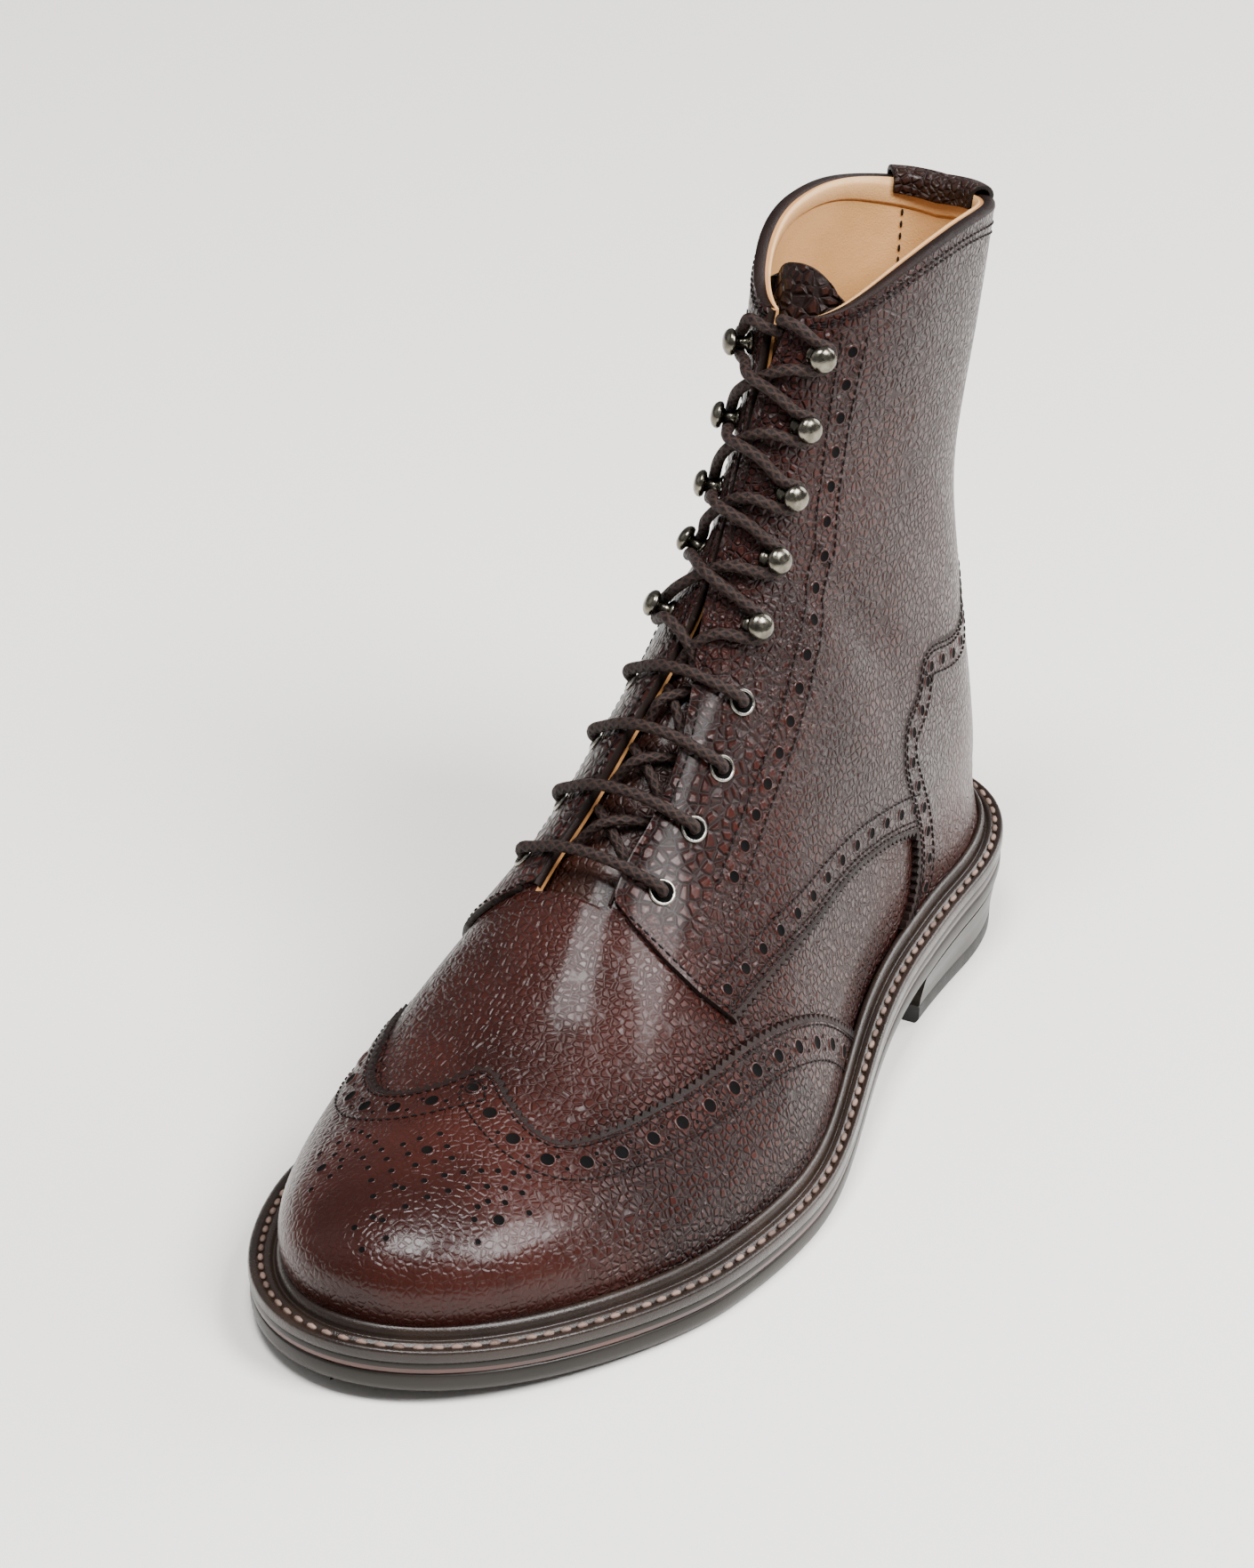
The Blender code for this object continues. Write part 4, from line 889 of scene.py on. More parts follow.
def grained_leather(name, light, dark, groove, rough, coat, fixed=None):
    """Printed pebble-grain calf: how strong and how coarse it is follows the piece's marks. Its
    grooves carry painted shade in the groove colour.
    """
    material, tree, shader = nodes_of(name, light, rough, 0.0, 0.20, coat, 0.14)
    where = node(tree, "ShaderNodeTexCoord")
    sway = noise(tree, 260.0, 2.0)
    shift = node(tree, "ShaderNodeVectorMath", operation="SUBTRACT")
    link(tree, sway, "Color", shift, 0)
    shift.inputs[1].default_value = (0.5, 0.5, 0.5)
    size = node(tree, "ShaderNodeVectorMath", {"Scale": 0.0007}, operation="SCALE")
    link(tree, shift, 0, size, 0)
    add = node(tree, "ShaderNodeVectorMath", operation="ADD")
    link(tree, where, "Object", add, 0)
    link(tree, size, 0, add, 1)
    fine = pebble_cells(tree, add.outputs[0], 0.0020)
    big = pebble_cells(tree, add.outputs[0], 0.0031)
    if fixed:
        pebble = maths(tree, "ADD", fixed[0], 0.0)
        coarse = maths(tree, "ADD", fixed[1], 0.0)
    else:
        pebble = node(tree, "ShaderNodeAttribute", attribute_name="pebble").outputs["Fac"]
        coarse = node(tree, "ShaderNodeAttribute", attribute_name="coarse").outputs["Fac"]
    domes = maths(tree, "ADD", maths(tree, "MULTIPLY", big, coarse),
                  maths(tree, "MULTIPLY", fine, maths(tree, "SUBTRACT", 1.0, coarse)))
    pores = noise(tree, 2600.0, 2.0).outputs["Fac"]
    soft = noise(tree, 420.0, 3.0).outputs["Fac"]
    height = maths(tree, "ADD", maths(tree, "MULTIPLY", domes, pebble),
                   maths(tree, "ADD", maths(tree, "MULTIPLY", pores, 0.03),
                         maths(tree, "MULTIPLY", soft, 0.07)))
    bumped(tree, shader, height, 0.00105)
    cloud = ramp(tree, noise(tree, 22.0, 4.0).outputs["Fac"], 0.34, 0.66)
    body = mixed(tree, cloud, dark, light)
    # Painted shade: the grooves between the pebbles are darkened towards the groove colour, and the
    # same share makes them rougher.
    painted_groove_shade_and_dull = maths(tree, "MULTIPLY", maths(tree, "SUBTRACT", 1.0, domes),
                 maths(tree, "MULTIPLY", pebble, 0.85))
    tree.links.new(mixed(tree, painted_groove_shade_and_dull, body, groove), shader.inputs["Base Color"])
    gloss = maths(tree, "ADD", maths(tree, "MULTIPLY", cloud, 0.07),
                  maths(tree, "MULTIPLY", painted_groove_shade_and_dull, 0.25))
    tree.links.new(maths(tree, "ADD", gloss, rough - 0.04), shader.inputs["Roughness"])
    return material


def smooth_leather(name, light, dark, rough, scale=260.0, depth=0.00012, coat=0.0):
    """Lining, edge and strap leather: fine pores and a soft change of colour."""
    material, tree, shader = nodes_of(name, light, rough, 0.0, 0.45, coat, 0.3)
    cloud = ramp(tree, noise(tree, scale * 0.12, 4.0).outputs["Fac"], 0.3, 0.7)
    tree.links.new(mixed(tree, cloud, dark, light), shader.inputs["Base Color"])
    height = maths(tree, "ADD", noise(tree, scale * 8.0, 3.0).outputs["Fac"],
                   noise(tree, scale, 3.0).outputs["Fac"])
    bumped(tree, shader, height, depth)
    tree.links.new(ramp(tree, noise(tree, scale * 0.5).outputs["Fac"], 0.3, 0.7, rough - 0.05,
                        rough + 0.08), shader.inputs["Roughness"])
    return material


def sole_edge_leather(name, light, dark, lines, rough=0.36):
    """Trimmed and waxed edge: faint layers along the wall, fine scratches, a low gloss."""
    material, tree, shader = nodes_of(name, light, rough, 0.0, 0.5, 0.15, 0.3)
    where = node(tree, "ShaderNodeTexCoord")
    turn = node(tree, "ShaderNodeMapping")
    turn.inputs["Scale"].default_value = (18.0, 18.0, lines)
    link(tree, where, "Object", turn, "Vector")
    layers = noise(tree, 1.0, 4.0, 0.6, (turn, "Vector"))
    cloud = ramp(tree, layers.outputs["Fac"], 0.35, 0.65)
    tree.links.new(mixed(tree, cloud, dark, light), shader.inputs["Base Color"])
    height = maths(tree, "ADD", maths(tree, "MULTIPLY", layers.outputs["Fac"], 0.4),
                   maths(tree, "MULTIPLY", noise(tree, 1500.0, 2.0).outputs["Fac"], 0.3))
    bumped(tree, shader, height, 0.00014)
    tree.links.new(ramp(tree, layers.outputs["Fac"], 0.3, 0.7, rough - 0.06, rough + 0.10),
                   shader.inputs["Roughness"])
    return material


def waxed_cord(name, light, dark):
    """Round braided lace: two sets of strands wound across each other, with painted shade between
    the strands.
    """
    material, tree, shader = nodes_of(name, light, 0.62, 0.0, 0.3)
    lay = node(tree, "ShaderNodeUVMap", uv_map="lay")
    parts = node(tree, "ShaderNodeSeparateXYZ")
    link(tree, lay, "UV", parts, "Vector")
    turn = maths(tree, "MULTIPLY", parts.outputs["X"], 4.0 * 2.0 * math.pi)
    climb = maths(tree, "MULTIPLY", parts.outputs["Y"], 2.0 * math.pi / 0.0030)
    left = maths(tree, "SINE", maths(tree, "ADD", turn, climb))
    right = maths(tree, "SINE", maths(tree, "SUBTRACT", turn, climb))
    braid = maths(tree, "MAXIMUM", left, right)
    fuzz = noise(tree, 2400.0, 2.0).outputs["Fac"]
    bumped(tree, shader, maths(tree, "ADD", maths(tree, "MULTIPLY", braid, 0.5), fuzz), 0.00030)
    # Painted shade: the cord is darker where the strands sink between each other, lighter on their
    # tops.
    share = ramp(tree, braid, -0.3, 0.9)
    tree.links.new(mixed(tree, share, dark, light), shader.inputs["Base Color"])
    return material


def worn_metal(name, light, dark, rough):
    material, tree, shader = nodes_of(name, light, rough, 1.0, 0.5)
    cloud = ramp(tree, noise(tree, 420.0, 3.0).outputs["Fac"], 0.35, 0.7)
    tree.links.new(mixed(tree, cloud, dark, light), shader.inputs["Base Color"])
    tree.links.new(ramp(tree, noise(tree, 900.0, 3.0).outputs["Fac"], 0.3, 0.7, rough - 0.05,
                        rough + 0.10), shader.inputs["Roughness"])
    bumped(tree, shader, noise(tree, 1400.0, 2.0).outputs["Fac"], 0.00003)
    return material


# The third colour of each grained finish is painted shade for the grain's grooves.
CALF = grained_leather("oxblood_grain_calf", (0.038, 0.0080, 0.0052), (0.020, 0.0045, 0.0031),
                       (0.0060, 0.0020, 0.0016), 0.29, 0.10)
TONGUE_CALF = grained_leather("tongue_calf", (0.028, 0.0085, 0.0052), (0.016, 0.0050, 0.0034),
                              (0.0050, 0.0020, 0.0015), 0.34, 0.08)
STRAP_CALF = grained_leather("strap_calf", (0.028, 0.0095, 0.006), (0.017, 0.006, 0.004),
                             (0.006, 0.0025, 0.002), 0.38, 0.10, (0.6, 0.0))
EDGE_CALF = smooth_leather("inked_edge", (0.014, 0.0065, 0.0050), (0.008, 0.0045, 0.0040), 0.50,
                           300.0, 0.0002)
DARK_EDGE = smooth_leather("burnished_edge", (0.016, 0.010, 0.008), (0.008, 0.006, 0.005), 0.45)
# Painted shade: a near-black finish for the floors of the punched holes and the eyelet wells,
# standing for the shade inside the holes.
PAINTED_HOLE_SHADE = smooth_leather("punched_hole", (0.004, 0.003, 0.003), (0.002, 0.002, 0.002), 0.8)
LINING = smooth_leather("tan_lining", (0.56, 0.30, 0.115), (0.48, 0.25, 0.09), 0.5)
LINING_BAND = smooth_leather("tan_lining_band", (0.66, 0.38, 0.165), (0.58, 0.32, 0.13), 0.48)
LINING_EDGE = smooth_leather("tan_edge", (0.46, 0.22, 0.075), (0.34, 0.15, 0.05), 0.55)
WELT_CALF = smooth_leather("welt_leather", (0.022, 0.0120, 0.0080), (0.012, 0.0070, 0.0050), 0.28,
                           300.0, 0.00010, 0.15)
SOLE_EDGE = sole_edge_leather("sole_edge", (0.016, 0.0128, 0.0095), (0.010, 0.0082, 0.0063), 160.0)
HEEL_EDGE = sole_edge_leather("heel_edge", (0.020, 0.0165, 0.0120), (0.012, 0.0100, 0.0075), 140.0)
JOINT = sole_edge_leather("sole_joint", (0.075, 0.0170, 0.0105), (0.016, 0.0095, 0.0075), 60.0)
RUBBER = smooth_leather("rubber_top_piece", (0.018, 0.016, 0.015), (0.012, 0.011, 0.010), 0.6)
THREAD = smooth_leather("brown_thread", (0.0065, 0.0045, 0.0040), (0.004, 0.003, 0.003), 0.55,
                        900.0)
WELT_THREAD = smooth_leather("welt_thread", (0.27, 0.175, 0.140), (0.10, 0.062, 0.048), 0.5, 900.0)
# The lace's second colour is painted shade between its strands.
LACE = waxed_cord("lace_cord", (0.026, 0.0135, 0.0105), (0.007, 0.004, 0.0035))
GUNMETAL = worn_metal("hook_metal", (0.20, 0.185, 0.150), (0.11, 0.10, 0.080), 0.20)
BRIGHT = worn_metal("eyelet_metal", (0.40, 0.38, 0.34), (0.22, 0.21, 0.18), 0.24)


# How strongly the dull finishes reflect.
for dull, gleam in ((PAINTED_HOLE_SHADE, 0.05), (DARK_EDGE, 0.15), (EDGE_CALF, 0.15), (THREAD, 0.12),
                    (LACE, 0.20), (SOLE_EDGE, 0.22), (HEEL_EDGE, 0.22), (WELT_CALF, 0.32)):
    dull.node_tree.nodes["Principled BSDF"].inputs["Specular IOR Level"].default_value = gleam


# ---- Uppers.

def marks_at(u, v):
    """How strong and how coarse the leather's grain is at places of the surface."""
    toe = rising(u, 0.10, 0.10)
    low = rising(np.abs(v), 0.30, 0.35)
    pebble = 0.10 + 0.75 * toe * low + 0.22 * toe
    leg = rising(u, 0.34, 0.03)
    pebble = pebble + (0.80 - pebble) * leg
    heel = rising(u, 0.50, 0.12) * rising(np.abs(v), 0.62, 0.2)
    heel = heel * falling(u, 0.90, 0.08)
    pebble = pebble * (1.0 - 0.62 * heel)
    near = falling(np.abs(v), 0.40, 0.12)
    coarse = leg * near * falling(u, 0.72, 0.22)
    pebble = np.clip(pebble + 0.2 * coarse, 0.0, 1.0)
    return {"pebble": pebble, "coarse": coarse}


def leather_sheet(node_name, u, v, lift, depth, skip=None):
    """A piece of grained calf on the last, standing for the node of the same name."""
    points, normals = skin(u, v, lift)
    work = laid(points, normals, marks_at(u, v), skip=skip)
    thick(piece(f"{node_name}_leather", work, [CALF, DARK_EDGE], [node_name]), depth)


def make_vamp_and_lining():
    """The whole hollow upper: vamp and lower quarters outside, tan lining inside."""
    rows = np.concatenate([np.linspace(-0.012, 0.30, 66)[:-1], np.linspace(0.30, THROAT_FOOT, 14),
                           np.linspace(THROAT_FOOT, 1.0, 110)[1:]])
    foot = 78
    lateral, medial = throat_edges(np.clip(rows, 0.0, 1.0))
    share = np.linspace(0.0, 1.0, 57)
    share = share - 0.02 * np.sin(2.0 * math.pi * share)
    middle = np.linspace(0.0, 1.0, 8)[1:-1]
    v = np.concatenate([1.0 + (lateral[:, None] - 1.0) * share,
                        lateral[:, None] + (medial - lateral)[:, None] * middle,
                        -1.0 + (medial[:, None] + 1.0) * share[::-1]], axis=1)
    u = to_collar(np.repeat(rows[:, None], v.shape[1], 1), v)
    points, normals = skin(u, v)
    first, last = 56, 57 + len(middle)
    work = laid(points, normals, marks_at(u, v),
                skip=lambda i, j: i >= foot and first <= j < last)
    thick(piece("vamp_and_lining", work, [CALF, LINING, LINING_EDGE], ["upper"]),
          WALL, 1, 2)


def wing_line():
    """Edge of the wing cap, from the medial welt to the lateral one."""
    return soft_line(column(WING_TABLE, 1), column(WING_TABLE, 0))


def make_wing_cap():
    """Toe cap with its long wings, thinned towards the welt."""
    u_edge, v_edge = wing_line()
    pick = np.linspace(0, len(u_edge) - 1, 300).astype(int)
    order = np.maximum.accumulate(v_edge[pick] + np.arange(300) * 1e-6)
    rows = np.linspace(0.0, 1.0, 84) ** 1.15
    u = -0.012 + (u_edge[pick][None, :] + 0.012) * rows[:, None]
    v = np.repeat(order[None, :], len(rows), 0)
    v = np.clip(v, -1.0, 1.0)
    lift = PANEL_TOP - 0.0004 * rising(np.abs(v), 0.90, 0.10)
    leather_sheet("wing_cap", u, v, lift, LEATHER)


def counter_edge():
    return soft_line(column(COUNTER_TABLE, 0), column(COUNTER_TABLE, 1))


def gimp_edge():
    """Gimped lower edge of the quarter, from its tip until it goes under the counter."""
    table = QUARTER_BACK_TABLE
    u, v = soft_line(column(table, 0), column(table, 1))
    keep = u < 0.602
    return u[keep], v[keep]


def side_edge(edge, sign, below=2.0):
    """An edge of the lateral side laid on either side, as far as a place across."""
    u, v = edge()
    keep = v < below
    return u[keep], v[keep] * sign


def quarter_border(sign):
    """The quarter's lower and back border, by length, with the throat edge beside it."""
    ub, vb = gimp_edge()
    uc, vc = counter_edge()
    start = int(np.argmax((uc > 0.600)))
    gap = 0.0015
    uc, vc = uc[start:], np.minimum(vc[start:] - gap, 0.9985)
    rest = np.linspace(uc[-1], 1.0, 80)[1:]
    u = np.concatenate([ub, uc, rest])
    v = np.concatenate([vb, vc, np.full(len(rest), 0.9985)])
    order = np.maximum.accumulate(u + np.arange(len(u)) * 1e-7)
    run = run_of(skin(order, v * sign)[0])
    at = np.linspace(0.0, run[-1], 190)
    return np.interp(at, run, order), np.interp(at, run, v)


def make_quarter(side, sign):
    """Facing and shaft in one piece, with a rounded lower corner at the throat."""
    rows, back = quarter_border(sign)
    edges = throat_edges(rows)
    front = edges[0] if sign > 0 else -edges[1]
    share = np.linspace(0.0, 1.0, 84)
    v = front[:, None] + (back - front)[:, None] * share
    foot = np.interp(v, column(QUARTER_FOOT_TABLE, 0), column(QUARTER_FOOT_TABLE, 1))
    blend = falling(rows, 0.42, 0.42 - rows[0])[:, None]
    u = rows[:, None] + (foot - rows[0]) * blend
    u = to_collar(u, v * sign)
    high = (u[:, :1] - foot[:, :1]) * 340.0
    cut_in = np.where(high < 4.0, 4.0 - np.sqrt(np.clip(16.0 - (4.0 - high) ** 2, 0.0, 16.0)), 0.0)
    v = v + cut_in / 97.0 * (1.0 - share[None, :]) ** 3
    v = v - 0.0004 / 0.11 * (1.0 - share[None, :]) ** 8
    leather_sheet(f"quarter_{side}", u, v * sign, QUARTER_TOP, LEATHER + 0.0004)


def make_counter():
    """Heel counter, both halves joined at the back seam."""
    uc, vc = counter_edge()
    run = run_of(skin(uc, vc)[0])
    at = np.linspace(0.0, run[-1], 150)
    order = np.maximum.accumulate(uc + np.arange(len(uc)) * 1e-7)
    rows = np.interp(at, run, order)
    edge = np.interp(at, run, vc)
    share = np.linspace(0.0, 1.0, 44)
    half = edge[:, None] + (1.0 - edge)[:, None] * share
    u = np.repeat(rows[:, None], 2 * len(share), 1)
    v = np.concatenate([half, -half[:, ::-1]], axis=1)
    lift = QUARTER_TOP - 0.0007 * np.clip((0.042 - skin(u, v)[0][..., 2]) / 0.012, 0.0, 1.0)
    seam = len(share) - 1
    heel = rows < PLACES[HEEL_ROW]
    leather_sheet("heel_counter", u, v, lift, LEATHER + 0.0003,
                  skip=lambda i, j: j == seam and heel[i])


def make_gimping():
    """Pinked edges of the wing, the quarters and the counter: a row of small teeth."""
    lines = [("wing", wing_line(), 1.0, PANEL_TOP)]
    for side, sign in (("lateral", 1.0), ("medial", -1.0)):
        lines.append((f"quarter_{side}", side_edge(gimp_edge, sign), -sign, QUARTER_TOP))
        lines.append((f"counter_{side}", side_edge(counter_edge, sign, 0.999), sign, QUARTER_TOP))
    for label, line, out, top in lines:
        run = run_of(skin(*line)[0])
        count = int(run[-1] / TOOTH_PITCH) * 4
        at = np.linspace(0.0, run[-1], count + 1)
        fine = np.interp(at, run, line[0]), np.interp(at, run, line[1])
        wave = np.abs(((np.arange(count + 1) % 4) - 2.0) / 2.0)
        rows = []
        for where, high in ((-0.0007, top - 0.0003), (-0.0004, top + 0.00008),
                            (0.0001, top + 0.00006), (None, top - 0.00008),
                            (None, 0.00005), (-0.0006, 0.0001), (-0.0007, top - 0.0003)):
            if where is None:
                near = beside(fine, out * 0.0004, 1)
                far = beside(fine, out * (0.0004 + TOOTH_DEPTH), 1)
                u = near[0] + (far[0] - near[0]) * wave
                v = near[1] + (far[1] - near[1]) * wave
            else:
                u, v = beside(fine, out * where, 1)
            rows.append(skin(u, v, high)[0])
        piece(f"pinked_edge_{label}", laid(np.stack(rows)), [EDGE_CALF], sharp=40.0)


def facing_line(sign):
    """Front edge of a facing, from its foot to the collar."""
    u = np.linspace(0.372, 1.0, 300)
    edge = throat_edges(u)
    v = edge[0] if sign > 0 else edge[1]
    return to_collar(u, v), v


def seam_lines():
    """Every row of stitches on the upper, as lines over the surface."""
    out = []
    wing = wing_line()
    for distance in (-0.0012, -0.0102):
        out.append((row_beside(wing, distance), PANEL_TOP))
    quarter = []
    for sign in (1.0, -1.0):
        for distance in (0.0010, 0.0024, 0.0092):
            quarter.append(row_beside(side_edge(gimp_edge, sign), sign * distance))
        for distance in (0.0010, 0.0024, 0.0088):
            quarter.append(row_beside(side_edge(counter_edge, sign, 0.985), -sign * distance))
        quarter.append(row_beside(facing_line(sign), -sign * 0.0017))
        u, v = soft_line(column(QUARTER_FOOT_TABLE, 1), column(QUARTER_FOOT_TABLE, 0))
        keep = v > 0.15
        quarter.append(row_beside((u[keep], v[keep] * sign), sign * 0.0017))
        row = punch_row(sign)
        for distance in (-0.0036, 0.0036):
            quarter.append(row_beside(row, distance))
        v = np.linspace(0.05, 0.985, 200) * sign
        for below in (0.0095, 0.0140):
            quarter.append((collar(v) - below, v))
    return out + [(line, QUARTER_TOP) for line in quarter]


def punch_row(sign):
    """Line of the holes beside the facing."""
    return soft_line(column(PUNCH_TABLE, 0), [v * sign for v in column(PUNCH_TABLE, 1)])


def make_stitches():
    """Every stitch of the upper's seams, one small bead each."""
    frames = joined(*[frames_on(even(line, STITCH_PITCH), top + 0.00016)
                      for line, top in seam_lines()])
    scatter("upper_stitches", stitch_shape(0.00185, 0.00058, 0.00046), frames, [THREAD])


def make_holes():
    """Broguing: large and small punched holes along the edges."""
    spots = []
    wing = wing_line()
    row = row_beside(wing, -0.0057)
    spots.append((even(row, 0.0098), 1.80, PANEL_TOP))
    for side in (-0.0016, 0.0016):
        spots.append((even(row_beside(row, side), 0.0098, 0.0), 0.62, PANEL_TOP))
    for sign in (1.0, -1.0):
        spots.append((even(punch_row(sign), 0.0085), 1.50, QUARTER_TOP))
        row = row_beside(side_edge(gimp_edge, sign), sign * 0.0058)
        spots.append((even(row, 0.0086), 1.50, QUARTER_TOP))
        row = row_beside(side_edge(counter_edge, sign, 0.99), -sign * 0.0056)
        spots.append((even(row, 0.0080), 1.50, QUARTER_TOP))
    frames = joined(*[frames_on(line, top + 0.00008) for line, _, top in spots])
    sizes = np.concatenate([np.full(len(line[0]), size) for line, size, _ in spots])
    u, v, radius = rosette_places()
    frames = joined(frames, frames_towards(*skin(u, v, PANEL_TOP + 0.00006), (0.0, 1.0, 0.0)))
    sizes = np.concatenate([sizes, radius])
    # The holes' floors take the near-black painted shade finish.
    scatter("punched_holes", hole_shape(), frames, [CALF, PAINTED_HOLE_SHADE], sizes=sizes)


def rosette_places():
    """Places of the toe's punched rosette, one half and its mirror."""
    x, y, radius = [], [], []
    for ax, ay, bx, by, cx, cy, holes, size in ROSETTE_TABLE:
        for t in np.linspace(0.0, 1.0, holes) if holes > 1 else [0.0]:
            px = (1 - t) ** 2 * ax + 2 * t * (1 - t) * bx + t * t * cx
            py = (1 - t) ** 2 * ay + 2 * t * (1 - t) * by + t * t * cy
            for side in ((1.0, -1.0) if px > 0.5 else (1.0,)):
                x.append(px * side)
                y.append(py)
                radius.append(size)
    want = np.stack([ROSETTE_X + np.array(x) * 0.001, ROSETTE_Y + np.array(y) * 0.001], axis=1)
    u = np.full(len(x), 0.10)
    v = np.array(x) / 60.0
    for _ in range(12):
        e = 0.002
        p = skin(u, v)[0]
        a = (skin(u + e, v)[0] - p)[:, :2] / e
        b = (skin(u, v + e)[0] - p)[:, :2] / e
        miss = want - p[:, :2]
        det = a[:, 0] * b[:, 1] - a[:, 1] * b[:, 0]
        det = np.where(np.abs(det) < 1e-6, 1e-6, det)
        u = np.clip(u + 0.8 * (miss[:, 0] * b[:, 1] - miss[:, 1] * b[:, 0]) / det, 0.01, 0.17)
        v = np.clip(v + 0.8 * (a[:, 0] * miss[:, 1] - a[:, 1] * miss[:, 0]) / det, -0.8, 0.8)
    return u, v, np.array(radius)


def make_tongue():
    """Tongue under the throat, standing over the collar with a rounded top."""
    rows = np.linspace(place_of_ridge(TONGUE_FOOT_Z), 1.0, 90)
    lateral, medial = throat_edges(rows)
    middle = 0.5 * (lateral + medial)
    share = np.linspace(1.0, -1.0, 30)
    wide = TONGUE_HALF / reach(rows)
    top = rising(rows, 0.985, 0.015)
    wide = wide * (1.0 - 0.12 * top * top)
    v = middle[:, None] + wide[:, None] * share[None, :]
    u = np.repeat(rows[:, None], 30, 1)
    ride = rising(u, SHAFT_START, 1.0 - SHAFT_START)
    high = LAST_U > SHAFT_START
    heights = skin(LAST_U[high][:, None], v[-1][None, :])[0][..., 2]
    across = np.abs(np.linspace(-1.0, 1.0, 30))
    want = 0.001 * TONGUE_TOP_Z - 0.009 * across ** 2 - 0.004 * across ** 8
    end = np.array([np.interp(want[j], heights[:, j], LAST_U[high]) for j in range(30)])
    u = np.where(u > SHAFT_START, SHAFT_START + ride * (end[None, :] - SHAFT_START), u)
    points, normals = skin(u, v, -(WALL + GAP + TONGUE_DEEPER))
    upward = rising(u, 0.37, 0.35)
    work = laid(points, normals, {"pebble": 0.25 + 0.75 * upward, "coarse": upward})
    thick(piece("tongue_leather", work, [TONGUE_CALF, DARK_EDGE], ["tongue"]),
          TONGUE_THICK)


def make_lining_band():
    """Lighter turned band round the inside of the collar, and the lining's stitched seam."""
    v = np.concatenate([np.linspace(-0.06, -1.0, 120), np.linspace(1.0, 0.06, 120)])
    rows = []
    for below, depth in ((0.0012, -WALL + 0.0004), (-0.0006, -WALL - 0.0004),
                         (0.0040, -WALL - 0.0007), (0.0110, -WALL - 0.0007),
                         (0.0125, -WALL - 0.0002)):
        rows.append(skin(collar(v) - max(below, 0.0), v, depth)[0])
    rows[1][:, 2] += 0.0004
    points = np.stack(rows)
    normals = -skin(collar(v), v)[1][None].repeat(5, 0)
    work = laid(points, normals)
    thick(piece("lining_band", work, [LINING_BAND, LINING_BAND]), 0.0004, bevel=0.0)
    seams = []
    for at in (0.90, -0.90):
        u = np.linspace(0.80, float(collar(at)) - 0.012, 80)
        seams.append((u, np.full(80, at)))
    frames = joined(*[frames_on(even(line, 0.0032), -WALL - 0.0003) for line in seams])
    scatter("lining_stitches", stitch_shape(0.0021, 0.0007, 0.0006), frames, [THREAD])


def make_dark_edges():
    """Inked outer half of the leather's cut edge, round the collar and down the throat."""
    v = np.concatenate([np.linspace(-0.06, -1.0, 120), np.linspace(1.0, 0.06, 120)])
    rows = []
    for depth, higher in ((QUARTER_TOP + 0.0001, -0.0006), (QUARTER_TOP, 0.0003),
                          (-0.0010, 0.0004), (-0.0012, -0.0002)):
        p = skin(collar(v), v, depth)[0].copy()
        p[:, 2] += higher
        rows.append(p)
    work = laid(np.stack(rows), np.tile((0.0, 0.0, 1.0), (4, len(v), 1)))
    piece("collar_edge", work, [EDGE_CALF])
    u = np.linspace(THROAT_FOOT + 0.004, 1.0, 150)
    edges = throat_edges(np.clip(u, 0.0, 1.0))
    for side, edge, inward in (("lateral", edges[0], -0.0030), ("medial", edges[1], 0.0030)):
        rows = [skin(to_collar(u, edge), edge + step, depth)[0]
                for step, depth in ((-inward, QUARTER_TOP - 0.0004), (inward, QUARTER_TOP - 0.0006),
                                    (inward, -0.0009), (-inward, -0.0010))]
        normals = skin(u, edge)[1][None].repeat(4, 0)
        piece(f"throat_edge_{side}", laid(np.stack(rows), normals), [EDGE_CALF])


def make_pull_loop():
    """Strap folded over the back of the collar, outside and inside."""
    depth = PANEL_TOP + GAP + 0.5 * LOOP_THICK
    inner = -(WALL + 2.0 * GAP + 0.5 * LOOP_THICK)
    path = [(depth, -LOOP_OUTSIDE * (1.0 - k / 12.0)) for k in range(13)]
    arch = np.linspace(0.0, math.pi, 11)[1:-1]
    half = 0.5 * (depth - inner)
    path += [(0.5 * (depth + inner) + half * math.cos(a), LOOP_TOP * math.sin(a)) for a in arch]
    path += [(inner, -LOOP_INSIDE * k / 7.0) for k in range(8)]
    columns = 21
    wall = float(reach(PLACES[20]))
    points = np.zeros((len(path), columns, 3))
    heights_u = LAST_U[LAST_U > PLACES[17]]
    for j in range(columns):
        part = j / (columns - 1.0) - 0.5
        for i, (offset, rise) in enumerate(path):
            low = LOOP_WIDTH_LOW if offset > 0.0 else LOOP_WIDTH
            fall = min(1.0, max(0.0, -rise / LOOP_OUTSIDE))
            side = part * (LOOP_WIDTH + (low - LOOP_WIDTH) * fall) / wall
            v = math.copysign(1.0 - abs(side), side if side else 1.0)
            top = skin(collar(v), v)[0][2] + min(rise, 0.0)
            column_z = skin(heights_u, np.full(len(heights_u), v))[0][:, 2]
            p, n = skin(float(np.interp(top, column_z, heights_u)), v)
            level = np.array([n[0], n[1], 0.0])
            puff = 0.0004 * math.cos(part * math.pi) * (1.0 if rise <= 0.0 else 1.6)
            points[i, j] = p + unit(level) * (offset + math.copysign(puff, offset))
            points[i, j, 2] += max(rise, 0.0)
    centre = points.mean(axis=1, keepdims=True)[12:22].mean(axis=0)
    out = points - (centre - np.array([0.0, 0.0, 0.012]))
    out[..., 0] = 0.0
    work = laid(points, out)
    thing = piece("pull_loop_strap", work, [STRAP_CALF, DARK_EDGE], ["pull_loop"])
    thick(thing, LOOP_THICK, bevel=0.0003)
    thing.modifiers["wall"].offset = 0.0


# ---- Metal and lace.

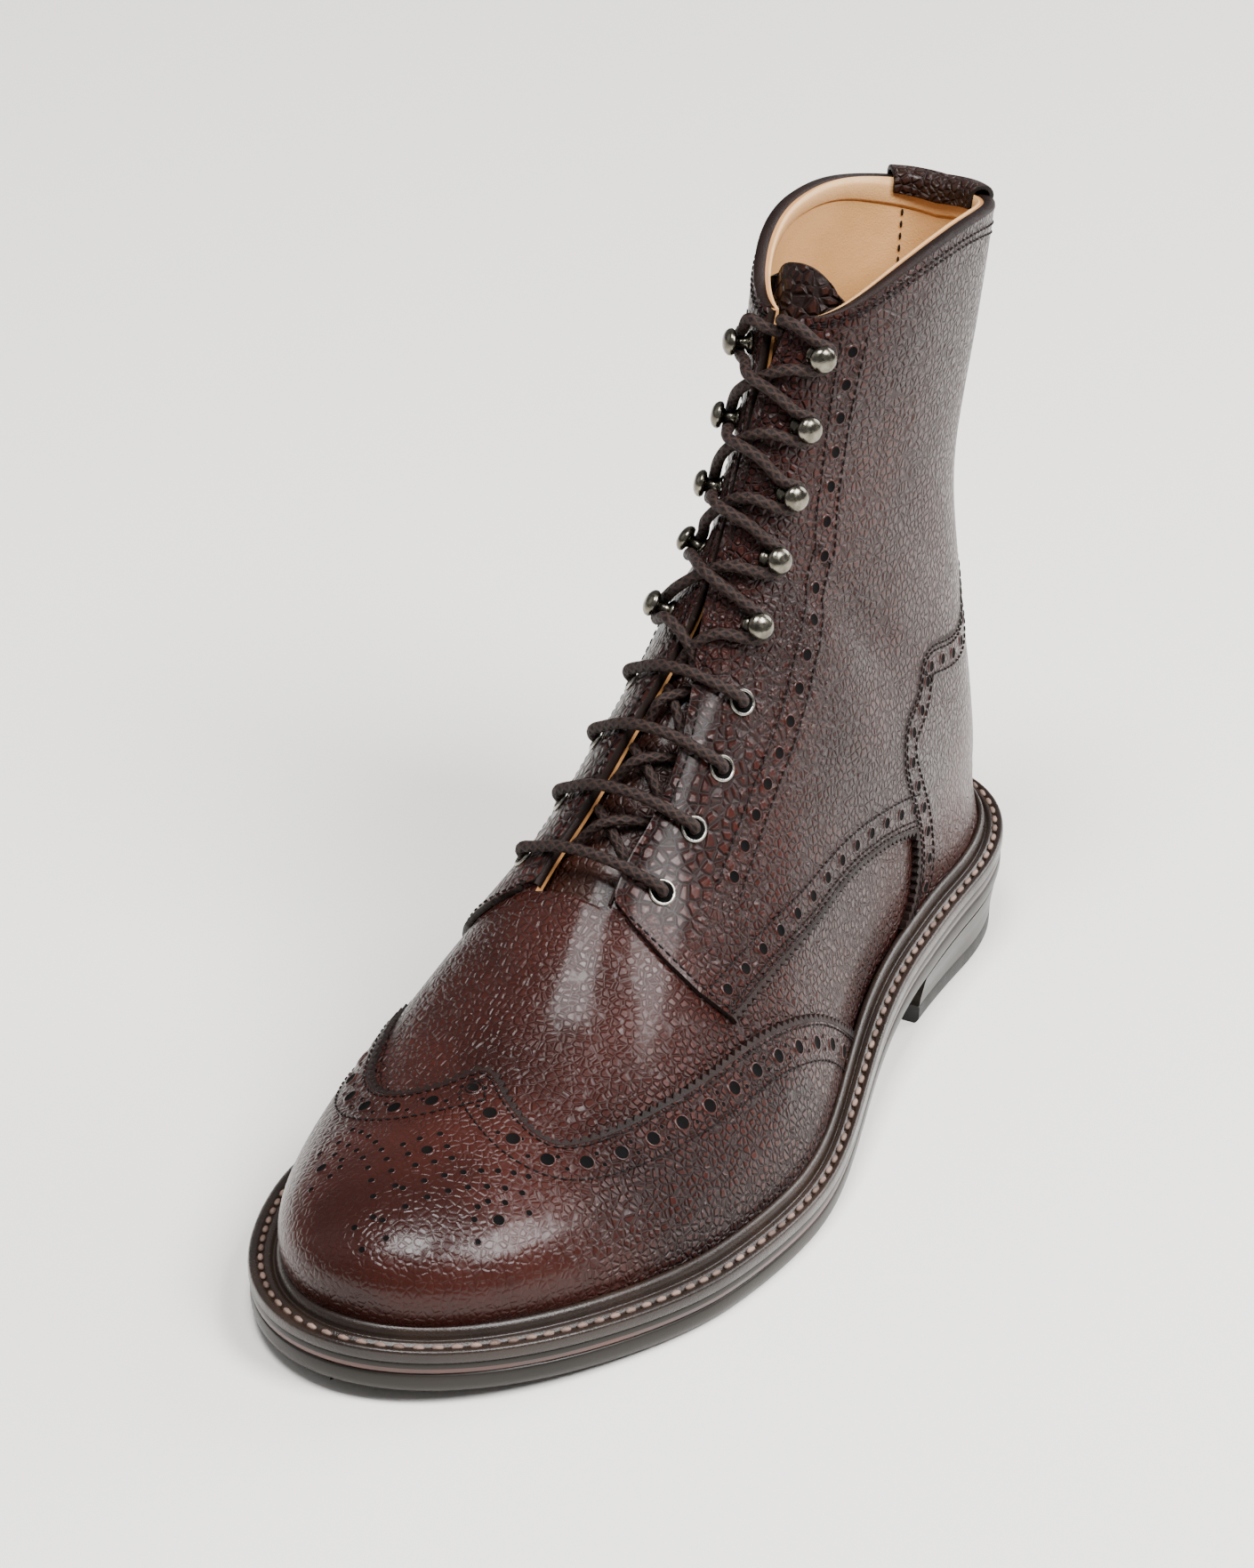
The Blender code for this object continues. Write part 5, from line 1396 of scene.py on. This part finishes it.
def spots(table, side):
    place = 0 if side > 0 else 2
    return np.array([(row[place], row[place + 1]) for row in table])


def upright_frames(table, lift):
    places = np.concatenate([spots(table, 1), spots(table, -1)])
    return frames_towards(*skin(places[:, 0], places[:, 1], lift), (0.0, 0.0, 1.0))


def make_eyelets_and_hooks():
    """Four plain ring eyelets and five speed hooks a side."""
    sides = ("lateral", "medial")
    rings = upright_frames(EYELET_TABLE, QUARTER_TOP + 0.0001)
    ring = [(EYELET_RADIUS + 0.00048 * math.cos(a), 0.0001 + 0.00050 * math.sin(a))
            for a in np.linspace(0.0, 2.0 * math.pi, 13)]
    scatter("eyelet_rings", turned(ring, 28), rings, [BRIGHT],
            [f"eyelet_{side}_{i}" for side in sides for i in (1, 2, 3, 4)])
    # The eyelet wells are near-black discs of painted shade inside the rings.
    scatter("eyelet_wells", turned(WELL_PROFILE, 20), rings, [PAINTED_HOLE_SHADE])
    scatter("speed_hooks", turned(HOOK_PROFILE, 24), upright_frames(HOOK_TABLE, QUARTER_TOP),
            [GUNMETAL],
            [f"hook_{side}_{i}" for side in sides for i in (1, 2, 3, 4, 5)])


def lace_tube(name, path, radius, nodes=()):
    """A round lace along a smooth path, with closed ends."""
    path = np.array(path, float)
    run = run_of(path)
    at = np.linspace(0.0, run[-1], max(int(run[-1] / 0.0011), 12))
    line = np.stack([spline(run, path[:, k], at) for k in range(3)], axis=1)
    tangent = unit(np.gradient(line, axis=0))
    sides = 12
    side = np.cross(tangent[0], np.array([0.3, 0.2, 1.0]))
    rings = []
    lay = []
    for i in range(len(line)):
        side = unit(side - tangent[i] * (side @ tangent[i]))
        up = np.cross(tangent[i], side)
        end = min(i, len(line) - 1 - i)
        size = radius * (0.0 if end == 0 else (0.85 if end == 1 else 1.0))
        angle = np.linspace(0.0, 2.0 * math.pi, sides + 1)
        rings.append(line[i] + size * (np.cos(angle)[:, None] * side
                                       + np.sin(angle)[:, None] * up))
        lay.append(np.stack([angle / (2.0 * math.pi), np.full(sides + 1, at[i])], axis=1))
    work = laid(np.stack(rings), uv=np.stack(lay))
    return piece(name, work, [LACE], nodes)


def on_skin(places):
    """Points of a lace's path: place along, place across, height over the leather."""
    return [skin(u, v, lift)[0] for u, v, lift in places]


def make_lace_bars(over):
    """Straight bars over the four pairs of eyelets."""
    for i, (lu, lv, mu, mv) in enumerate(EYELET_TABLE):
        halves = []
        for u, v, end in ((lu, lv, 0), (mu, mv, 1)):
            edge = float(throat_edges(lu)[end])
            halves.append(on_skin((
                (u, v, -0.0030), (u, v, 0.0002), (u, v * 0.985, over - 0.0002),
                (u, v * 0.90, over + 0.0009),
                (0.6 * u + 0.2 * (lu + mu), 0.55 * v + 0.45 * edge, over + 0.0005),
                (0.3 * (lu + mu) + 0.4 * u, edge, over + 0.0001))))
        lace_tube(f"lace_over_{i + 1}", halves[0] + halves[1][::-1], LACE_RADIUS,
                  [f"lace_bar_{i + 1}"])


def make_lace_slants():
    """Slanting runs from eyelet to eyelet, seen in the throat under the bars."""
    for i, (low, high) in enumerate(zip(EYELET_TABLE[:3], EYELET_TABLE[1:])):
        for ua, ub, end, lift in ((low[0], high[2], 0, -0.0024), (low[2], high[0], 1, 0.0004)):
            va = float(throat_edges(ua)[end])
            vb = float(throat_edges(ub)[1 - end])
            path = on_skin(((ua + 0.006, va * 1.30, -0.0034), (ua + 0.012, va * 0.85, -0.0026),
                            (0.5 * (ua + ub), 0.5 * (va + vb), lift),
                            (ub - 0.012, vb * 0.85, -0.0026), (ub - 0.006, vb * 1.30, -0.0034)))
            lace_tube(f"lace_under_{i + 1}_{end + 1}", path, LACE_RADIUS * 0.9)


def make_lace_strand(first, over):
    """One end of the lace, from its top eyelet round the hooks of both sides in turn."""
    begin = float(throat_edges(0.575)[1 - first])
    path = on_skin(((0.552, begin * 1.5, -0.0034), (0.566, begin * 0.6, -0.0010)))
    for i, row in enumerate(HOOK_TABLE):
        end = (i + first) % 2
        far = slice(2 - 2 * end, 4 - 2 * end)
        u, v = row[2 * end:2 * end + 2]
        hook, n = skin(u, v)
        away = hook - skin(*row[far])[0]
        away = unit(away - n * (away @ n))
        up = np.cross(n, away)
        up = up if up[2] > 0.0 else -up
        if i:
            last_u, last_v = HOOK_TABLE[i - 1][far]
            path += on_skin([(last_u + (u - last_u) * part, last_v + (v - last_v) * part, lift)
                             for part, lift in ((0.3, over + 0.0011),
                                                (0.5, over + (0.0031 if end else 0.0002)),
                                                (0.7, over + 0.0011))])
        else:
            path.append(skin(0.595, 0.45 * v, over + (0.0024 if first else 0.0003))[0])
        for angle in (-80.0, -45.0, -10.0, 25.0, 60.0, 85.0):
            a = math.radians(angle)
            path.append(hook + n * (PANEL_TOP + 0.0027) + (HOOK_NECK + LACE_RADIUS + 0.0002)
                        * (math.cos(a) * away + math.sin(a) * up))
    edge = float(throat_edges(u)[end])
    path += on_skin(((u + 0.030, 0.5 * (edge + v), over + 0.0016),
                     (u + 0.036 - 0.012 * first, edge * 0.9, over - 0.0002),
                     (u + 0.030 - 0.012 * first, edge * 0.2, -0.0008),
                     (u + 0.010 - 0.010 * first, edge * 0.9, -0.0032)))
    lace_tube(f"lace_strand_{first + 1}", path, LACE_RADIUS, () if first else ["lace_cross"])


def make_laces():
    """Straight bars over four pairs of eyelets, then a criss-cross round the hooks."""
    over = QUARTER_TOP + LACE_RADIUS + 0.0001
    make_lace_bars(over)
    make_lace_slants()
    for first in (0, 1):
        make_lace_strand(first, over)


# ---- Bottoms.

WELT_FOOT = OUTSOLE_THICK + MIDSOLE_THICK + 2.0 * GAP


def stations(count, end=1.0, breast=0):
    """Shares of the length and hands across, once round the outline."""
    if breast:
        s = end * (1.0 - np.cos(np.linspace(0.0, 0.5 * math.pi, count)))
    else:
        s = spaced(count)
    across = np.linspace(1.0, -1.0, breast + 2)[1:-1] if breast else np.zeros(0)
    share = np.concatenate([s, np.full(len(across), s[-1]), s[::-1]])
    hand = np.concatenate([np.ones(count), across, -np.ones(count)])
    return share, hand


def rise(y):
    return sole_rise(share_of(y))


def ring(outline_there, hand, z):
    """A closed row of points round an outline."""
    middle, half, y = outline_there
    return np.stack([middle + hand * half, y, z + 0.0 * y], axis=1)


def bottom_piece(name, table, height, round_it, materials, slot, joint=None):
    """A layer of the bottom, swept round its outline through a cross-section."""
    share, hand = round_it
    rows = []
    for inset, level in table:
        middle, half, y = edge_ring(share, 0.0006 if inset is None else inset)
        half = half * (0.0 if inset is None else 1.0)
        rows.append(ring((middle, half, y), hand, height(y, level)))
    work = laid(np.stack(rows))
    if joint:
        for face in work.faces:
            c = face.calc_center_median()
            face.material_index = int(joint[0] < c.z - float(rise(c.y)) < joint[1])
    piece(name, work, materials, [slot], sharp=50.0)


def make_sole_and_heel():
    """Outsole, midsole with its red joint, stacked heel and rubber top piece."""
    full = stations(110)
    heel_round = stations(70, HEEL_BREAST_SHARE, 18)
    seat = TOP_PIECE + 0.0001
    bottom_piece("outsole_leather", OUTSOLE_PROFILE, lambda y, t: rise(y) + t, full,
                 [SOLE_EDGE], "outsole")
    bottom_piece("midsole_leather", MIDSOLE_PROFILE, lambda y, t: rise(y) + t, full,
                 [SOLE_EDGE, JOINT], "midsole", (0.0053, 0.0066))
    bottom_piece("heel_stack", HEEL_PROFILE, lambda y, t: seat + t * (rise(y) - seat), heel_round,
                 [HEEL_EDGE], "heel")
    bottom_piece("heel_rubber", RUBBER_PROFILE, lambda y, t: t, heel_round, [RUBBER],
                 "heel_top_piece")


def make_welt():
    """Storm welt with its raised bead, and the stitches in its channel."""
    share, hand = stations(110)
    inner = feather_ring(share, 0.0)
    outer = edge_ring(share, 0.0)

    def row(part, height):
        there = [a + (b - a) * part for a, b in zip(inner, outer)]
        return ring(there, hand, rise(there[2]) + WELT_FOOT + height)

    rows = [row(part, level * 0.001) for part, level in WELT_TABLE]
    piece("storm_welt", laid(np.stack(rows)), [WELT_CALF], ["welt"])
    line = row(0.715, 0.0029)
    run = run_of(line)
    count = int(run[-1] / WELT_STITCH_PITCH)
    at = (np.arange(count) + 0.5) * run[-1] / count
    p = np.stack([np.interp(at, run, line[:, k]) for k in range(3)], axis=1)
    along = unit(np.gradient(p, axis=0))
    across = unit(np.cross(np.array((0.0, 0.0, 1.0)), along))
    scatter("welt_stitches", stitch_shape(0.0031, 0.0017, 0.0015),
            (p, along, across, np.cross(along, across)), [WELT_THREAD])


def make_insole():
    """Insole on which the foot rests, seen from above through the collar."""
    share, hand = stations(60)
    rows = []
    for inset, level in INSOLE_PROFILE:
        middle, half, y = feather_ring(share, inset or 0.0038)
        half = half * (0.0 if inset is None else 1.0)
        rows.append(ring((middle, half, y), hand, rise(y) + WELT_FOOT + level))
    piece("insole_leather", laid(np.stack(rows)), [LINING], ["insole"])


# ---- Room, light and camera.

def make_room():
    """Pale floor, an even sky and four square lamps."""
    work = bmesh.new()
    bmesh.ops.create_grid(work, x_segments=4, y_segments=4, size=7.0)
    mesh = bpy.data.meshes.new("floor")
    work.to_mesh(mesh)
    work.free()
    material, tree, shader = nodes_of("pale_floor", (0.92, 0.89, 0.85), 0.7, 0.0, 0.2)
    cloud = noise(tree, 1.2, 3.0).outputs["Fac"]
    tree.links.new(mixed(tree, cloud, (0.915, 0.885, 0.845), (0.925, 0.90, 0.865)),
                   shader.inputs["Base Color"])
    mesh.materials.append(material)
    floor = bpy.data.objects.new("floor", mesh)
    bpy.context.scene.collection.objects.link(floor)
    world = bpy.data.worlds.new("studio")
    world.use_nodes = True
    sky = world.node_tree.nodes["Background"]
    sky.inputs["Color"].default_value = SKY_COLOUR
    sky.inputs["Strength"].default_value = SKY_STRENGTH
    bpy.context.scene.world = world
    for name, place, size, power in LIGHT_TABLE:
        light = bpy.data.lights.new(name, "AREA")
        light.shape = "SQUARE"
        light.size = size
        light.energy = power
        lamp = bpy.data.objects.new(name, light)
        lamp.location = place
        aim = Vector(LIGHT_AIM) - Vector(place)
        lamp.rotation_euler = aim.to_track_quat("-Z", "Y").to_euler()
        bpy.context.scene.collection.objects.link(lamp)


def make_camera():
    """From the photograph's place, turned to the middle of the boot and drawn nearer."""
    turn, lift, roll = (math.radians(x) for x in (CAMERA_TURN, CAMERA_LIFT, CAMERA_ROLL))
    back = Vector((math.sin(turn) * math.cos(lift), -math.cos(turn) * math.cos(lift),
                   math.sin(lift)))
    level = Vector((math.cos(turn), math.sin(turn), 0.0))
    upright = back.cross(level)
    right = level * math.cos(roll) + upright * math.sin(roll)
    up = -level * math.sin(roll) + upright * math.cos(roll)
    data = bpy.data.cameras.new("camera")
    data.sensor_width = 36.0
    data.lens = CAMERA_LENS
    data.clip_start = 0.05
    camera = bpy.data.objects.new("camera", data)
    camera.matrix_world = Matrix.Translation(CAMERA_PLACE) @ Matrix(
        (right, up, back)).transposed().to_4x4()
    bpy.context.scene.collection.objects.link(camera)
    bpy.context.scene.camera = camera


make_camera()
make_room()
make_sole_and_heel()
make_welt()
make_insole()
make_vamp_and_lining()
make_wing_cap()
make_quarter("lateral", 1)
make_quarter("medial", -1)
make_counter()
make_gimping()
make_holes()
make_stitches()
make_tongue()
make_dark_edges()
make_lining_band()
make_pull_loop()
make_eyelets_and_hooks()
make_laces()
